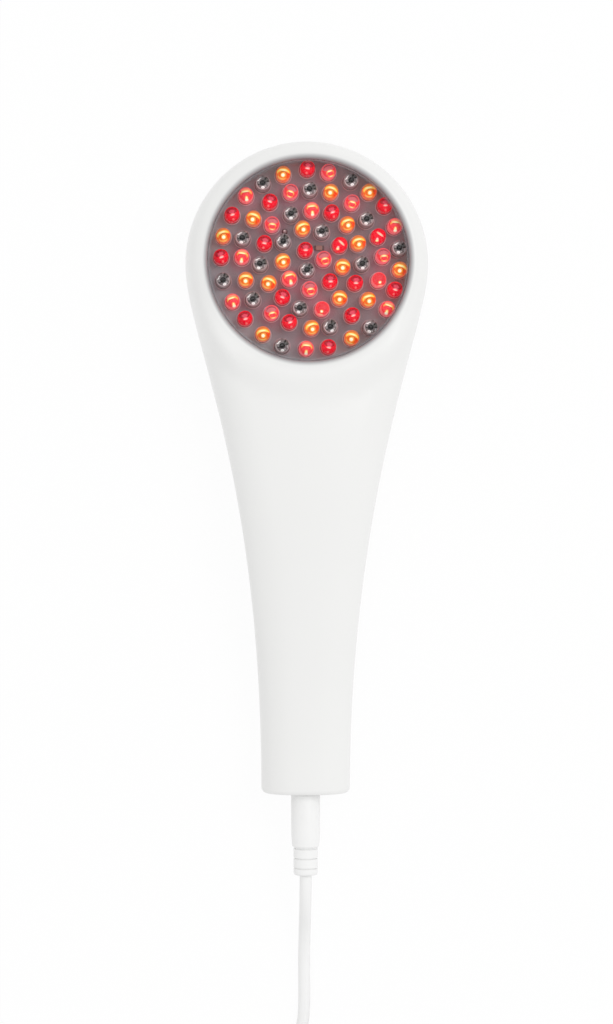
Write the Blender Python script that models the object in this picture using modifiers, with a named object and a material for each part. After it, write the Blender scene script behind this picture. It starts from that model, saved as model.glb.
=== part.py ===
"""A hand-held light therapy wand on its power lead, with the wall adapter, in metres, +Z up.

The wand lies on its back with the light window up. +Y runs from the handle's end to the head, +X is to the
right of the window, and the origin is on the table under the middle of the wand's length.
"""
import math

import bmesh
import bpy
from mathutils import Matrix, Vector

# Clearances and wall
GAP = 0.0003
OVERRUN = 0.002
WALL = 0.0022

# Wand body
WAND_LENGTH = 0.218
HEAD_DEPTH = 0.040
END_HALF_WIDTH = 0.01495
END_DEPTH = 0.027
END_FILLET = 0.0018
BEZEL_WIDTH = 0.0066
COLLAR_INSET = 0.0013
COLLAR_BLEND = 0.0070
COLLAR_DIP = 0.0020
HANDLE_CROWN = 0.0030
SIDE_SOFTNESS = 0.9
SIDE_SOFTENING = 0.055
CROWN_SHARE = 0.3
ARCH_RISE = 0.007
NECK_ANGLE = math.radians(4.8)
HANDLE_REACH_SHARE = 0.60
NECK_REACH_SHARE = 0.14
FACE_SLOPE_SHARE = 0.78
ARCH_START_SHARE = 0.08
ARCH_END_SHARE = 0.92
SPLIT_SHARE = 0.55
BACK_FLAT_SHARE = 0.30
STATION_CROWDING = 1.5
FRONT_ROUNDNESS = 2.4
BACK_ROUNDNESS = 2.3
LIP_HEIGHT = 0.0015
LIP_ROOT = 0.0015
LIP_INSET = 0.0010
HANDLE_STATIONS = 12
HEAD_STATIONS = 9
FILLET_STATIONS = 2
SKIN_ROWS = 5
FACE_ROWS = 6
CAVITY_ROWS = 4

# Light window and what sits behind it
WINDOW_MARGIN = 0.00105
WINDOW_BORDER = 0.0073
WINDOW_LIP = 0.0014
LENS_THICKNESS = 0.002
LENS_STEP = 0.0008
LENS_SEAT = 0.002
WELL_WALL = 0.0009
SKIRT_WALL = 0.0010
LED_TIP_GAP = 0.0005

# Light board
LED_HEIGHT = 0.0086
LED_RADIUS = 0.0025
LED_FLANGE_RADIUS = 0.0029
LED_FLANGE_HEIGHT = 0.001
LED_SIDES = 8
LED_DOME_BREAK = math.radians(48)
LED_RING_PITCH = 0.00655
LED_FIRST_RING = 0.00395
LED_SECOND_RING = 0.0100
LED_RING_COUNTS = (3, 9, 15, 20, 25)
LED_RING_PHASES = (121.5, 107.2, 90.2, 90.1, 93.6)
BOARD_THICKNESS = 0.0016
BOARD_OVERHANG = 0.0006
BOARD_SHIFT = 0.0009
BOARD_POST_RADIUS = 0.0022
BOARD_POST_EDGE = 0.0088
BOARD_POSTS = 4
RESISTOR_SIZE = (0.0032, 0.0016, 0.0006)
RESISTOR_AT = (0.0031, 0.0043)
SENSOR_RADIUS = 0.0010
SENSOR_HEIGHT = 0.0012
SENSOR_CIRCLE = 0.01275
SENSOR_ANGLE = math.radians(130.8)
LED_PLUG_SIZE = (0.008, 0.007, 0.004)
LED_PLUG_OFFSET = 0.024

# Power button and its switch
BUTTON_RADIUS = 0.006
BUTTON_PROUD = 0.0008
BUTTON_FLANGE = 0.0011
BUTTON_FLANGE_THICKNESS = 0.0012
BUTTON_TRAVEL = 0.0005
SWITCH_SIZE = 0.006
SWITCH_HEIGHT = 0.0035
PLUNGER_RADIUS = 0.0017
PLUNGER_LENGTH = 0.0023
PLUNGER_REACH = 0.0008

# Control board
CONTROL_WIDTH = 0.020
CONTROL_TAIL_ROOM = 0.0125
CONTROL_BEYOND_BUTTON = 0.0185
CONTROL_THICKNESS = 0.0016
CONTROL_BOSS_RADIUS = 0.0026
CONTROL_BOSS_EDGE = 0.0045
CAPACITOR_RADIUS = 0.004
CAPACITOR_HEIGHT = 0.0105
INDUCTOR_RADIUS = 0.0042
INDUCTOR_HEIGHT = 0.006
BUZZER_RADIUS = 0.006
BUZZER_HEIGHT = 0.0075
BUZZER_PORT_RADIUS = 0.0012
CHIP_SIZE = (0.0052, 0.0062, 0.0017)
CONTROL_PLUG_SIZE = (0.008, 0.006, 0.0045)

# Screws
SCREW_RADIUS = 0.0012
SCREW_HEAD_RADIUS = 0.0023
SCREW_HEAD_HEIGHT = 0.0016
SCREW_POINT_RADIUS = 0.0007
SCREW_HEAD_SIDE = 0.0010
SCREW_HEAD_FLAT_RADIUS = 0.0016
HOUSING_BOSS_RADIUS = 0.0030
HOUSING_WELL_WALL = 0.0010
HOUSING_SCREW_LENGTH = 0.0105
HOUSING_SEAT_DEPTH = 0.0045
NECK_SCREW_X = 0.0175
NECK_SCREW_SHARE = 0.727
END_SCREW_X = 0.0068
END_SCREW_SETBACK = 0.0242
CONTROL_SCREW_LENGTH = 0.005

# Power jack and plug
JACK_SIZE = (0.0095, 0.0145, 0.0105)
JACK_BORE_DEPTH = 0.0118
JACK_PIN_RADIUS = 0.0010
JACK_PIN_LENGTH = 0.0085
CRADLE_WIDTH = 0.0075
CRADLE_LENGTH = 0.009
BARREL_RADIUS = 0.00275
BARREL_BORE_RADIUS = 0.00135
BARREL_LENGTH = 0.0108
BARREL_TIP = 0.0014
PLUG_RADIUS = 0.00475
PLUG_NECK_RADIUS = 0.0037
PLUG_LENGTH = 0.0275
PLUG_STRAIGHT = 0.0090
PLUG_TAPER = 0.0090
PLUG_RINGS = 3
PLUG_RING_PITCH = 0.0032
PLUG_GROOVE = 0.0006

# Wires
WIRE_RADIUS = 0.0006
WIRE_SPACING = 0.0026

# Lead, coil and tie
CORD_RADIUS = 0.00205
CORD_LIFT = 0.0001
COIL_CENTRE_X = 0.012
COIL_SETBACK = 0.0912
COIL_OUTER_RADIUS = 0.0288
COIL_PITCH = 0.00525
COIL_LAYER_STEP = 0.0046
COIL_LAYERS = 4
COIL_LAYER_TURNS = 2.625
COIL_CLIMB_TURNS = 0.5
COIL_POINTS_A_TURN = 24
TIE_THICKNESS = 0.0006
TIE_WIDTH = 0.003
TIE_CLEARANCE = 0.00035

# Wall adapter
ADAPTER_SIZE = (0.042, 0.058, 0.021)
ADAPTER_PLATE = 0.003
ADAPTER_EDGE = 0.003
ADAPTER_X = -0.012
ADAPTER_SETBACK = 0.0625
BOOT_LENGTH = 0.0145
BOOT_RADIUS = 0.0042
BOOT_TIP_RADIUS = 0.0031
BLADE_SIZE = (0.0015, 0.00635, 0.0162)
BLADE_SPACING = 0.0127
BLADE_SETBACK = 0.021

# Worked out from the sizes above
LED_RING_RADII = (LED_FIRST_RING, *(LED_SECOND_RING + LED_RING_PITCH * ring for ring in range(4)))
WINDOW_RADIUS = LED_RING_RADII[-1] + LED_RADIUS + WINDOW_MARGIN
HEAD_RADIUS = WINDOW_RADIUS + WINDOW_BORDER
COLLAR_RADIUS = HEAD_RADIUS - COLLAR_INSET
END_Y = -WAND_LENGTH / 2
HEAD_Y = WAND_LENGTH / 2 - HEAD_RADIUS
CAVITY_TOP = HEAD_DEPTH - WALL
LENS_RADIUS = WINDOW_RADIUS + LENS_SEAT
LENS_TOP = CAVITY_TOP - GAP
LENS_BOTTOM = LENS_TOP - LENS_THICKNESS
BOARD_TOP = LENS_BOTTOM - LED_TIP_GAP - LED_HEIGHT
BOARD_BOTTOM = BOARD_TOP - BOARD_THICKNESS
BOARD_RADIUS = LENS_RADIUS + BOARD_OVERHANG
BOARD_X = BOARD_SHIFT
BOARD_Y = HEAD_Y + BOARD_SHIFT
JACK_Y = END_Y + WALL + GAP
PLUG_Y = END_Y - GAP
PLUG_TAIL_Y = PLUG_Y - PLUG_LENGTH
COIL_CENTRE_Y = PLUG_TAIL_Y - COIL_SETBACK
ADAPTER_Y = COIL_CENTRE_Y - ADAPTER_SETBACK


def ease(share):
    """A smooth step from 0 to 1 with level ends."""
    share = min(max(share, 0.0), 1.0)
    return share * share * (3 - 2 * share)


def face_height(y):
    """Height of the front at y: level over the head, easing down to the handle's end."""
    return END_DEPTH + (HEAD_DEPTH - END_DEPTH) * ease((y - END_Y) / (FACE_SLOPE_SHARE * (HEAD_Y - END_Y)))


def arch_place(share):
    return END_Y + share * (HEAD_Y - END_Y)


def back_height(y):
    """Height of the back at y: an arch between the two places where the wand rests."""
    start, end = arch_place(ARCH_START_SHARE), arch_place(ARCH_END_SHARE)
    share = min(max((y - start) / (end - start), 0.0), 1.0)
    return ARCH_RISE * math.sin(math.pi * share) ** 2


def parting_height(y):
    return back_height(y) + SPLIT_SHARE * (face_height(y) - back_height(y))


BUTTON_Y = arch_place((ARCH_START_SHARE + ARCH_END_SHARE) / 2)
BUTTON_BACK = back_height(BUTTON_Y)
FLANGE_BOTTOM = BUTTON_BACK + WALL + GAP
FLANGE_TOP = FLANGE_BOTTOM + BUTTON_FLANGE_THICKNESS
SWITCH_BOTTOM = FLANGE_TOP + GAP + PLUNGER_REACH
CONTROL_BOTTOM = SWITCH_BOTTOM + SWITCH_HEIGHT + GAP
CONTROL_TOP = CONTROL_BOTTOM + CONTROL_THICKNESS
CONTROL_HEAD_Y = BUTTON_Y + CONTROL_BEYOND_BUTTON
CONTROL_TAIL_Y = JACK_Y + JACK_SIZE[1] + CONTROL_TAIL_ROOM
CONTROL_LENGTH = CONTROL_HEAD_Y - CONTROL_TAIL_Y
CONTROL_Y = CONTROL_TAIL_Y + CONTROL_LENGTH / 2
JACK_Z = parting_height(END_Y)
CORD_Z = CORD_RADIUS + CORD_LIFT
COIL_Z = CORD_Z + TIE_THICKNESS + TIE_CLEARANCE
COIL_INNER_RADIUS = COIL_OUTER_RADIUS - COIL_PITCH * COIL_LAYER_TURNS
BOOT_Z = ADAPTER_SIZE[2] / 2


def clear_scene():
    for obj in list(bpy.data.objects):
        bpy.data.objects.remove(obj)


def new_collection(name):
    collection = bpy.data.collections.new(name)
    bpy.context.scene.collection.children.link(collection)
    return collection


clear_scene()
PARTS = new_collection("light_therapy_wand")
CUTTERS = new_collection("cutters")


def finish_of(name, colour, roughness, metallic=0.0):
    material = bpy.data.materials.new(name)
    material.use_nodes = True
    shader = material.node_tree.nodes["Principled BSDF"]
    shader.inputs["Base Color"].default_value = (*colour, 1.0)
    shader.inputs["Roughness"].default_value = roughness
    shader.inputs["Metallic"].default_value = metallic
    return material


WHITE = finish_of("white_housing", (0.86, 0.86, 0.85), 0.30)
CLEAR = finish_of("clear_lens", (0.95, 0.95, 0.96), 0.05)
BOARD = finish_of("grey_board", (0.20, 0.16, 0.17), 0.45)
GREEN = finish_of("green_board", (0.05, 0.22, 0.10), 0.45)
BLACK = finish_of("black_plastic", (0.02, 0.02, 0.02), 0.50)
BROWN = finish_of("brown_ceramic", (0.25, 0.15, 0.11), 0.55)
STEEL = finish_of("steel", (0.62, 0.62, 0.62), 0.30, 1.0)
NICKEL = finish_of("nickel", (0.72, 0.70, 0.66), 0.25, 1.0)
CORD = finish_of("white_cord", (0.84, 0.84, 0.83), 0.45)
RED_WIRE = finish_of("red_wire", (0.60, 0.03, 0.02), 0.45)
BLACK_WIRE = finish_of("black_wire", (0.02, 0.02, 0.02), 0.45)


def place(obj, material, node=True):
    """Links an object as a part, or as a hidden cutter."""
    (PARTS if node else CUTTERS).objects.link(obj)
    if node:
        obj.data.materials.clear()
        obj.data.materials.append(material)
    else:
        obj.hide_render = True
        obj.display_type = "WIRE"
    return obj


def from_bmesh(name, shape, material=None, at=(0, 0, 0), smooth=30):
    """A part, or a cutter where no material is given."""
    bmesh.ops.recalc_face_normals(shape, faces=shape.faces)
    mesh = bpy.data.meshes.new(name)
    shape.to_mesh(mesh)
    shape.free()
    mesh.shade_smooth()
    mesh.set_sharp_from_angle(angle=math.radians(smooth))
    obj = bpy.data.objects.new(name, mesh)
    obj.location = at
    return place(obj, material, material is not None)


def box(name, size, at, material=None, edge=0.0):
    shape = bmesh.new()
    bmesh.ops.create_cube(shape, size=1.0, matrix=Matrix.Diagonal((*size, 1.0)))
    obj = from_bmesh(name, shape, material, at)
    if edge:
        rounding = obj.modifiers.new("edges", "BEVEL")
        rounding.width = edge
        rounding.segments = 2
    return obj


AXES = {
    "X": Matrix.Rotation(math.pi / 2, 4, "Y"),
    "Y": Matrix.Rotation(-math.pi / 2, 4, "X"),
    "Z": Matrix.Identity(4),
}


def cylinder(name, radius, length, at, material=None, axis="Z", sides=24):
    """A cylinder from `at` along its axis."""
    shape = bmesh.new()
    matrix = AXES[axis] @ Matrix.Translation((0, 0, length / 2))
    bmesh.ops.create_cone(
        shape, cap_ends=True, segments=sides, radius1=radius, radius2=radius, depth=length, matrix=matrix
    )
    return from_bmesh(name, shape, material, at)


def turned(name, outline, at, material=None, axis="Z", steps=24):
    """A profile of (radius, height) pairs, top to bottom down its outer side, turned about its axis."""
    mesh = bpy.data.meshes.new(name)
    points = [(radius, 0, height) for radius, height in outline]
    mesh.from_pydata(points, [(i, i + 1) for i in range(len(points) - 1)], [])
    obj = bpy.data.objects.new(name, mesh)
    obj.location = at
    obj.rotation_euler = AXES[axis].to_euler()
    screw = obj.modifiers.new("turn", "SCREW")
    screw.steps = steps
    screw.render_steps = steps
    screw.use_merge_vertices = True
    screw.merge_threshold = 0.00001
    screw.use_smooth_shade = False
    return place(obj, material, material is not None)


def tube(name, route, radius, material, resolution=1):
    curve = bpy.data.curves.new(name, "CURVE")
    curve.dimensions = "3D"
    curve.bevel_depth = radius
    curve.bevel_resolution = resolution
    curve.use_fill_caps = True
    spline = curve.splines.new("POLY")
    spline.points.add(len(route) - 1)
    for point, place_at in zip(spline.points, route):
        point.co = (*place_at, 1.0)
    obj = bpy.data.objects.new(name, curve)
    return place(obj, material)


def boolean(obj, other, operation="DIFFERENCE"):
    modifier = obj.modifiers.new(operation.lower(), "BOOLEAN")
    modifier.operation = operation
    modifier.object = other
    return obj


def smooth_route(points, step):
    """Points every `step` along a smooth curve through the route's own points."""
    knots = [Vector(point) for point in points]
    knots = [2 * knots[0] - knots[1], *knots, 2 * knots[-1] - knots[-2]]
    route = []
    for before, start, end, after in zip(knots, knots[1:], knots[2:], knots[3:]):
        pieces = max(1, round((end - start).length / step))
        for piece in range(pieces):
            t = piece / pieces
            route.append(
                0.5 * (2 * start + (end - before) * t + (2 * before - 5 * start + 4 * end - after) * t**2
                       + (3 * start - before - 3 * end + after) * t**3)
            )
    route.append(knots[-2])
    return route


def plan_width(y, side):
    """Half width of the wand's plan outline, read off the points of its side curve."""
    for (x_low, y_low), (x_high, y_high) in zip(side, side[1:]):
        if y_low <= y <= y_high:
            return x_low + (x_high - x_low) * (y - y_low) / (y_high - y_low)
    return side[0][0]


def side_curve(pieces):
    """The side of the handle: one curve from the end's straight flank to the head's circle."""
    tangent = Vector((-math.sin(NECK_ANGLE), -math.cos(NECK_ANGLE)))
    join = Vector((HEAD_RADIUS * math.cos(NECK_ANGLE), HEAD_Y - HEAD_RADIUS * math.sin(NECK_ANGLE)))
    start = Vector((END_HALF_WIDTH, END_Y))
    reach = join.y - END_Y
    first = start + Vector((0, HANDLE_REACH_SHARE * reach))
    second = join + tangent * NECK_REACH_SHARE * reach
    points = []
    for piece in range(pieces + 1):
        t = piece / pieces
        points.append(
            start * (1 - t) ** 3 + first * 3 * t * (1 - t) ** 2 + second * 3 * t**2 * (1 - t) + join * t**3
        )
    return points


SIDE = [tuple(point) for point in side_curve(60)]


def stations(inset):
    """Sections of the right-hand half, from the handle's end to the top of the head.

    Each is its foot on the centre line, its direction out from there, its half width, the outer half width,
    and how far the end fillet draws it in.
    """
    found = []
    for step in range(FILLET_STATIONS):
        turn = math.pi / 2 * step / FILLET_STATIONS
        drawn_in = END_FILLET * (1 - math.sin(turn))
        y = END_Y + inset + END_FILLET * (1 - math.cos(turn))
        width = plan_width(y, SIDE)
        found.append((y, 0.0, width - inset - drawn_in, width, drawn_in))
    first = END_Y + inset + END_FILLET
    for step in range(HANDLE_STATIONS):
        y = first + (HEAD_Y - first) * (1 - (1 - step / HANDLE_STATIONS) ** STATION_CROWDING)
        width = plan_width(y, SIDE)
        found.append((y, 0.0, width - inset, width, 0.0))
    for step in range(HEAD_STATIONS + 1):
        turn = math.pi / 2 * step / HEAD_STATIONS
        found.append((HEAD_Y, turn, HEAD_RADIUS - inset, HEAD_RADIUS, 0.0))
    return found


def section_point(station, side, reach, height):
    y, turn = station[0], station[1]
    return (side * reach * math.cos(turn), y + reach * math.sin(turn), height)


def loft(columns):
    """A closed solid from the sections: `columns` holds, for each, its points on the right and on the left."""
    shape = bmesh.new()
    rows = len(columns[0][0])
    rings = []
    for number, (right, left) in enumerate(columns):
        right_verts = [shape.verts.new(point) for point in right]
        shared = number == len(columns) - 1
        rings.append((right_verts, right_verts if shared else [shape.verts.new(point) for point in left]))
    for (right, left), (next_right, next_left) in zip(rings, rings[1:]):
        for row in range(rows - 1):
            shape.faces.new((right[row], next_right[row], next_right[row + 1], right[row + 1]))
            shape.faces.new((left[row + 1], next_left[row + 1], next_left[row], left[row]))
        for row in (0, rows - 1):
            corners = (left[row], right[row], next_right[row], next_left[row])
            shape.faces.new(list(dict.fromkeys(corners)))
    right, left = rings[0]
    shape.faces.new(right + left[::-1])
    bmesh.ops.triangulate(shape, faces=shape.faces)
    return shape


def face_sink(x, y):
    """How far the front lies below the head's collar: it dips beside the collar and is crowned across."""
    away = ease((math.hypot(x, y - HEAD_Y) - COLLAR_RADIUS) / COLLAR_BLEND)
    return away * (COLLAR_DIP + HANDLE_CROWN * (x / plan_width(min(y, SIDE[-1][1]), SIDE)) ** 2)


def front_flat(y, outer):
    """How far out the front's top reaches at y before it rounds over: less on the handle than round the window."""
    softness = 1 + SIDE_SOFTNESS * ease((HEAD_Y - y) / SIDE_SOFTENING)
    return max(outer - BEZEL_WIDTH * softness, outer * CROWN_SHARE)


def skin_column(station, side, upper, inset, skirt):
    """The points of one section, from the parting surface up to the front, or down to the back."""
    y, turn, width, outer, drawn_in = station
    sign = 1 if upper else -1
    roundness = FRONT_ROUNDNESS if upper else BACK_ROUNDNESS
    flat = front_flat(y, outer) if upper else outer * BACK_FLAT_SHARE
    base = parting_height(y) + sign * GAP / 2
    skin = face_height(y) if upper else back_height(y)
    height = skin - sign * (inset + drawn_in) - base
    points = [section_point(station, side, width, base - sign * skirt)] if skirt else []
    rows = CAVITY_ROWS if inset else SKIN_ROWS
    for row in range(rows + 1):
        angle = math.pi / 2 * row / rows
        out = max(math.cos(angle), 0.0) ** (2 / roundness)
        up = math.sin(angle) ** (2 / roundness)
        points.append(section_point(station, side, flat + (width - flat) * out, base + height * up))
    if not upper:
        return points
    for step in range(1, FACE_ROWS):
        points.append(section_point(station, side, flat * (1 - step / FACE_ROWS), base + height))
    return [(x, y, z - face_sink(x, y) * max(z - base, 0.0) / height) for x, y, z in points]


def half_body(upper, inset=0.0, skirt=0.0):
    """The front or back half of the body, drawn in by `inset`, reaching `skirt` past the parting surface."""
    return loft([
        (skin_column(station, 1, upper, inset, skirt), skin_column(station, -1, upper, inset, skirt))
        for station in stations(inset)
    ])


def seam_block(inset, low, high):
    """A block that follows the parting surface, from `low` to `high` above it."""
    columns = []
    for station in stations(inset):
        base = parting_height(station[0])
        columns.append(tuple(
            [section_point(station, side, station[2], base + level) for level in (low, high)] for side in (1, -1)
        ))
    return loft(columns)


HOUSING_SCREWS = [
    (NECK_SCREW_X, arch_place(NECK_SCREW_SHARE)),
    (-NECK_SCREW_X, arch_place(NECK_SCREW_SHARE)),
    (END_SCREW_X, END_Y + END_SCREW_SETBACK),
    (-END_SCREW_X, END_Y + END_SCREW_SETBACK),
]
CONTROL_SCREWS = [(0.0, CONTROL_HEAD_Y - CONTROL_BOSS_EDGE), (0.0, CONTROL_TAIL_Y + CONTROL_BOSS_EDGE)]


def rooted(boss, core):
    """A boss whose foot is trimmed to the middle of the wall that it grows from."""
    return boolean(boss, core, "INTERSECT")


def jack_opening():
    return cylinder(
        "jack_opening", BARREL_RADIUS + GAP, WALL + 2 * OVERRUN, (0, END_Y - OVERRUN, JACK_Z), axis="Y"
    )


def front_shell(opening):
    """The front moulding: bezel and window, light-well skirt, screw bosses and the rib over the jack."""
    shell = from_bmesh("front_shell", half_body(True), WHITE)
    boolean(shell, from_bmesh("front_cavity", half_body(True, WALL, OVERRUN)))
    boolean(shell, from_bmesh("front_rebate", seam_block(LIP_INSET, -OVERRUN, LIP_HEIGHT + GAP)))
    pocket_radius = LENS_RADIUS + GAP
    skirt_foot = BOARD_TOP + GAP
    boolean(shell, cylinder(
        "skirt", pocket_radius + SKIRT_WALL, CAVITY_TOP + WALL / 4 - skirt_foot, (0, HEAD_Y, skirt_foot), sides=48
    ), "UNION")
    boolean(shell, cylinder(
        "lens_pocket", pocket_radius, CAVITY_TOP - skirt_foot + OVERRUN, (0, HEAD_Y, skirt_foot - OVERRUN), sides=48
    ))
    bevel_points = [
        (WINDOW_RADIUS + WINDOW_LIP * (1 - math.cos(turn)), HEAD_DEPTH - WINDOW_LIP * (1 - math.sin(turn)))
        for turn in (math.pi / 2 * step / 3 for step in range(4))
    ][::-1]
    window = turned("window", [
        (0, HEAD_DEPTH + OVERRUN), (WINDOW_RADIUS + WINDOW_LIP, HEAD_DEPTH + OVERRUN), *bevel_points,
        (WINDOW_RADIUS, CAVITY_TOP - OVERRUN / 2), (0, CAVITY_TOP - OVERRUN / 2),
    ], (0, HEAD_Y, 0), steps=48)
    boolean(shell, window)
    core = from_bmesh("front_core", half_body(True, WALL / 2))
    for number, (x, y) in enumerate(HOUSING_SCREWS, 1):
        foot = parting_height(y) + GAP / 2
        boss = cylinder(
            f"front_boss_{number}", HOUSING_BOSS_RADIUS, HEAD_DEPTH - foot, (x, y, foot), sides=16
        )
        boolean(shell, rooted(boss, core), "UNION")
        hole_top = housing_screw_seat(y) + HOUSING_SCREW_LENGTH + GAP
        boolean(shell, cylinder(
            f"front_pilot_{number}", SCREW_RADIUS + GAP, hole_top - foot + OVERRUN, (x, y, foot - OVERRUN), sides=12
        ))
    rib_foot = JACK_Z + JACK_SIZE[2] / 2 + GAP
    rib_y = JACK_Y + JACK_SIZE[1] / 2
    rib_top = face_height(rib_y) - face_sink(0.0, rib_y) - WALL / 2
    boolean(shell, box(
        "jack_rib", (CRADLE_WIDTH, WALL, rib_top - rib_foot), (0, rib_y, (rib_top + rib_foot) / 2)
    ), "UNION")
    boolean(shell, opening)


def housing_screw_seat(y):
    """Height of the step that a housing screw's head pulls against."""
    return parting_height(y) - HOUSING_SEAT_DEPTH


def back_shell(opening):
    """The back moulding: dome and handle back, tongue, bosses, board posts, jack cradle and button hole."""
    shell = from_bmesh("back_shell", half_body(False), WHITE)
    boolean(shell, from_bmesh("tongue", seam_block(LIP_INSET + GAP, -LIP_ROOT, LIP_HEIGHT)), "UNION")
    boolean(shell, from_bmesh("back_cavity", half_body(False, WALL, LIP_HEIGHT + OVERRUN)))
    core = from_bmesh("back_core", half_body(False, WALL / 2, HEAD_DEPTH))
    for number, (x, y) in enumerate(HOUSING_SCREWS, 1):
        top = parting_height(y) - GAP / 2
        well_radius = SCREW_HEAD_RADIUS + GAP
        boss = cylinder(f"back_boss_{number}", well_radius + HOUSING_WELL_WALL, top, (x, y, 0), sides=16)
        boolean(shell, rooted(boss, core), "UNION")
        seat = housing_screw_seat(y)
        boolean(shell, cylinder(
            f"back_hole_{number}", SCREW_RADIUS + GAP, top - seat + 2 * OVERRUN, (x, y, seat - OVERRUN), sides=12
        ))
        boolean(shell, cylinder(
            f"head_well_{number}", well_radius, seat + OVERRUN, (x, y, -OVERRUN), sides=16
        ))
    for number, (x, y) in enumerate(CONTROL_SCREWS, 1):
        top = CONTROL_BOTTOM - GAP
        boss = cylinder(f"control_boss_{number}", CONTROL_BOSS_RADIUS, top, (x, y, 0), sides=16)
        boolean(shell, rooted(boss, core), "UNION")
        hole_foot = CONTROL_TOP - CONTROL_SCREW_LENGTH
        boolean(shell, cylinder(
            f"control_pilot_{number}", SCREW_RADIUS + GAP, top - hole_foot + OVERRUN, (x, y, hole_foot), sides=12
        ))
    for number in range(BOARD_POSTS):
        turn = math.pi / 4 + 2 * math.pi * number / BOARD_POSTS
        reach = BOARD_RADIUS - BOARD_POST_EDGE
        x, y = reach * math.cos(turn), HEAD_Y + reach * math.sin(turn)
        post = cylinder(f"board_post_{number + 1}", BOARD_POST_RADIUS, BOARD_BOTTOM - GAP, (x, y, 0), sides=12)
        boolean(shell, rooted(post, core), "UNION")
    cradle_top = JACK_Z - JACK_SIZE[2] / 2 - GAP
    cradle_y = JACK_Y + JACK_SIZE[1] / 2
    boolean(shell, box(
        "jack_cradle", (CRADLE_WIDTH, CRADLE_LENGTH, cradle_top - WALL / 2),
        (0, cradle_y, (cradle_top + WALL / 2) / 2)
    ), "UNION")
    boolean(shell, cylinder(
        "button_hole", BUTTON_RADIUS + GAP, BUTTON_BACK + WALL + OVERRUN, (0, BUTTON_Y, -OVERRUN), sides=24
    ))
    boolean(shell, opening)


def window_pieces():
    """The clear lens, whose raised face stands in the window, and the ring that holds it against the bezel."""
    lens = cylinder("window_lens", LENS_RADIUS, LENS_THICKNESS, (0, HEAD_Y, LENS_BOTTOM), CLEAR, sides=48)
    step_foot = LENS_BOTTOM + LENS_THICKNESS / 2
    boolean(lens, cylinder(
        "lens_step", WINDOW_RADIUS - GAP, LENS_TOP + LENS_STEP - step_foot, (0, HEAD_Y, step_foot), sides=48
    ), "UNION")
    inner = LENS_RADIUS - WELL_WALL
    top, foot = LENS_BOTTOM - GAP, BOARD_TOP + GAP
    turned("light_well_ring", [
        (inner, top), (LENS_RADIUS, top), (LENS_RADIUS, foot), (inner, foot), (inner, top)
    ], (0, HEAD_Y, 0), WHITE, steps=48)


def led_places():
    """The place of every lamp about the light board's centre."""
    for radius, count, phase in zip(LED_RING_RADII, LED_RING_COUNTS, LED_RING_PHASES):
        for number in range(count):
            turn = math.radians(phase) + 2 * math.pi * number / count
            yield radius * math.cos(turn), radius * math.sin(turn)


def lamp_mesh():
    """One lamp: its flange on the board, its straight body and its dome."""
    dome_start = LED_HEIGHT - LED_RADIUS
    outline = [(0, LED_HEIGHT)]
    outline.append((LED_RADIUS * math.sin(LED_DOME_BREAK), dome_start + LED_RADIUS * math.cos(LED_DOME_BREAK)))
    outline += [
        (LED_RADIUS, dome_start), (LED_RADIUS, LED_FLANGE_HEIGHT), (LED_FLANGE_RADIUS, LED_FLANGE_HEIGHT),
        (LED_FLANGE_RADIUS, -BOARD_THICKNESS / 2), (0, -BOARD_THICKNESS / 2),
    ]
    lamp = turned("lamp", outline, (0, 0, 0), steps=LED_SIDES)
    return bpy.data.meshes.new_from_object(lamp.evaluated_get(bpy.context.evaluated_depsgraph_get()))


def led_board():
    """The round board with its rings of lamps soldered to it."""
    board = cylinder("led_board", BOARD_RADIUS, BOARD_THICKNESS, (BOARD_X, BOARD_Y, BOARD_BOTTOM), BOARD, sides=48)
    lamp = lamp_mesh()
    shape = bmesh.new()
    for x, y in led_places():
        before = len(shape.verts)
        shape.from_mesh(lamp)
        shape.verts.ensure_lookup_table()
        bmesh.ops.translate(shape, verts=shape.verts[before:], vec=(x, y, 0))
    boolean(board, from_bmesh("lamps", shape, at=(BOARD_X, BOARD_Y, BOARD_TOP)), "UNION")


def light_board_pieces():
    """The small parts on the light board, and the socket under it for the lamp wires."""
    x, y = RESISTOR_AT
    height = RESISTOR_SIZE[2]
    box("board_resistor", RESISTOR_SIZE, (BOARD_X + x, BOARD_Y + y, BOARD_TOP + GAP + height / 2), BROWN)
    bead = [(0, SENSOR_HEIGHT), (SENSOR_RADIUS * math.cos(math.pi / 4), SENSOR_HEIGHT * math.sin(math.pi / 4)),
            (SENSOR_RADIUS, 0), (0, 0)]
    turned("thermistor", bead, (
        BOARD_X + SENSOR_CIRCLE * math.cos(SENSOR_ANGLE), BOARD_Y + SENSOR_CIRCLE * math.sin(SENSOR_ANGLE),
        BOARD_TOP + GAP,
    ), CLEAR, steps=12)
    led_socket_y = BOARD_Y - LED_PLUG_OFFSET
    box("led_connector", LED_PLUG_SIZE, (0, led_socket_y, BOARD_BOTTOM - GAP - LED_PLUG_SIZE[2] / 2), CORD)


def control_board():
    """The board in the handle, drilled for its two screws."""
    board = box(
        "control_board", (CONTROL_WIDTH, CONTROL_LENGTH, CONTROL_THICKNESS),
        (0, CONTROL_Y, CONTROL_BOTTOM + CONTROL_THICKNESS / 2), GREEN
    )
    for number, (x, y) in enumerate(CONTROL_SCREWS, 1):
        boolean(board, cylinder(
            f"board_hole_{number}", SCREW_RADIUS + GAP, CONTROL_THICKNESS + 2 * OVERRUN,
            (x, y, CONTROL_BOTTOM - OVERRUN), sides=12
        ))


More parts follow.
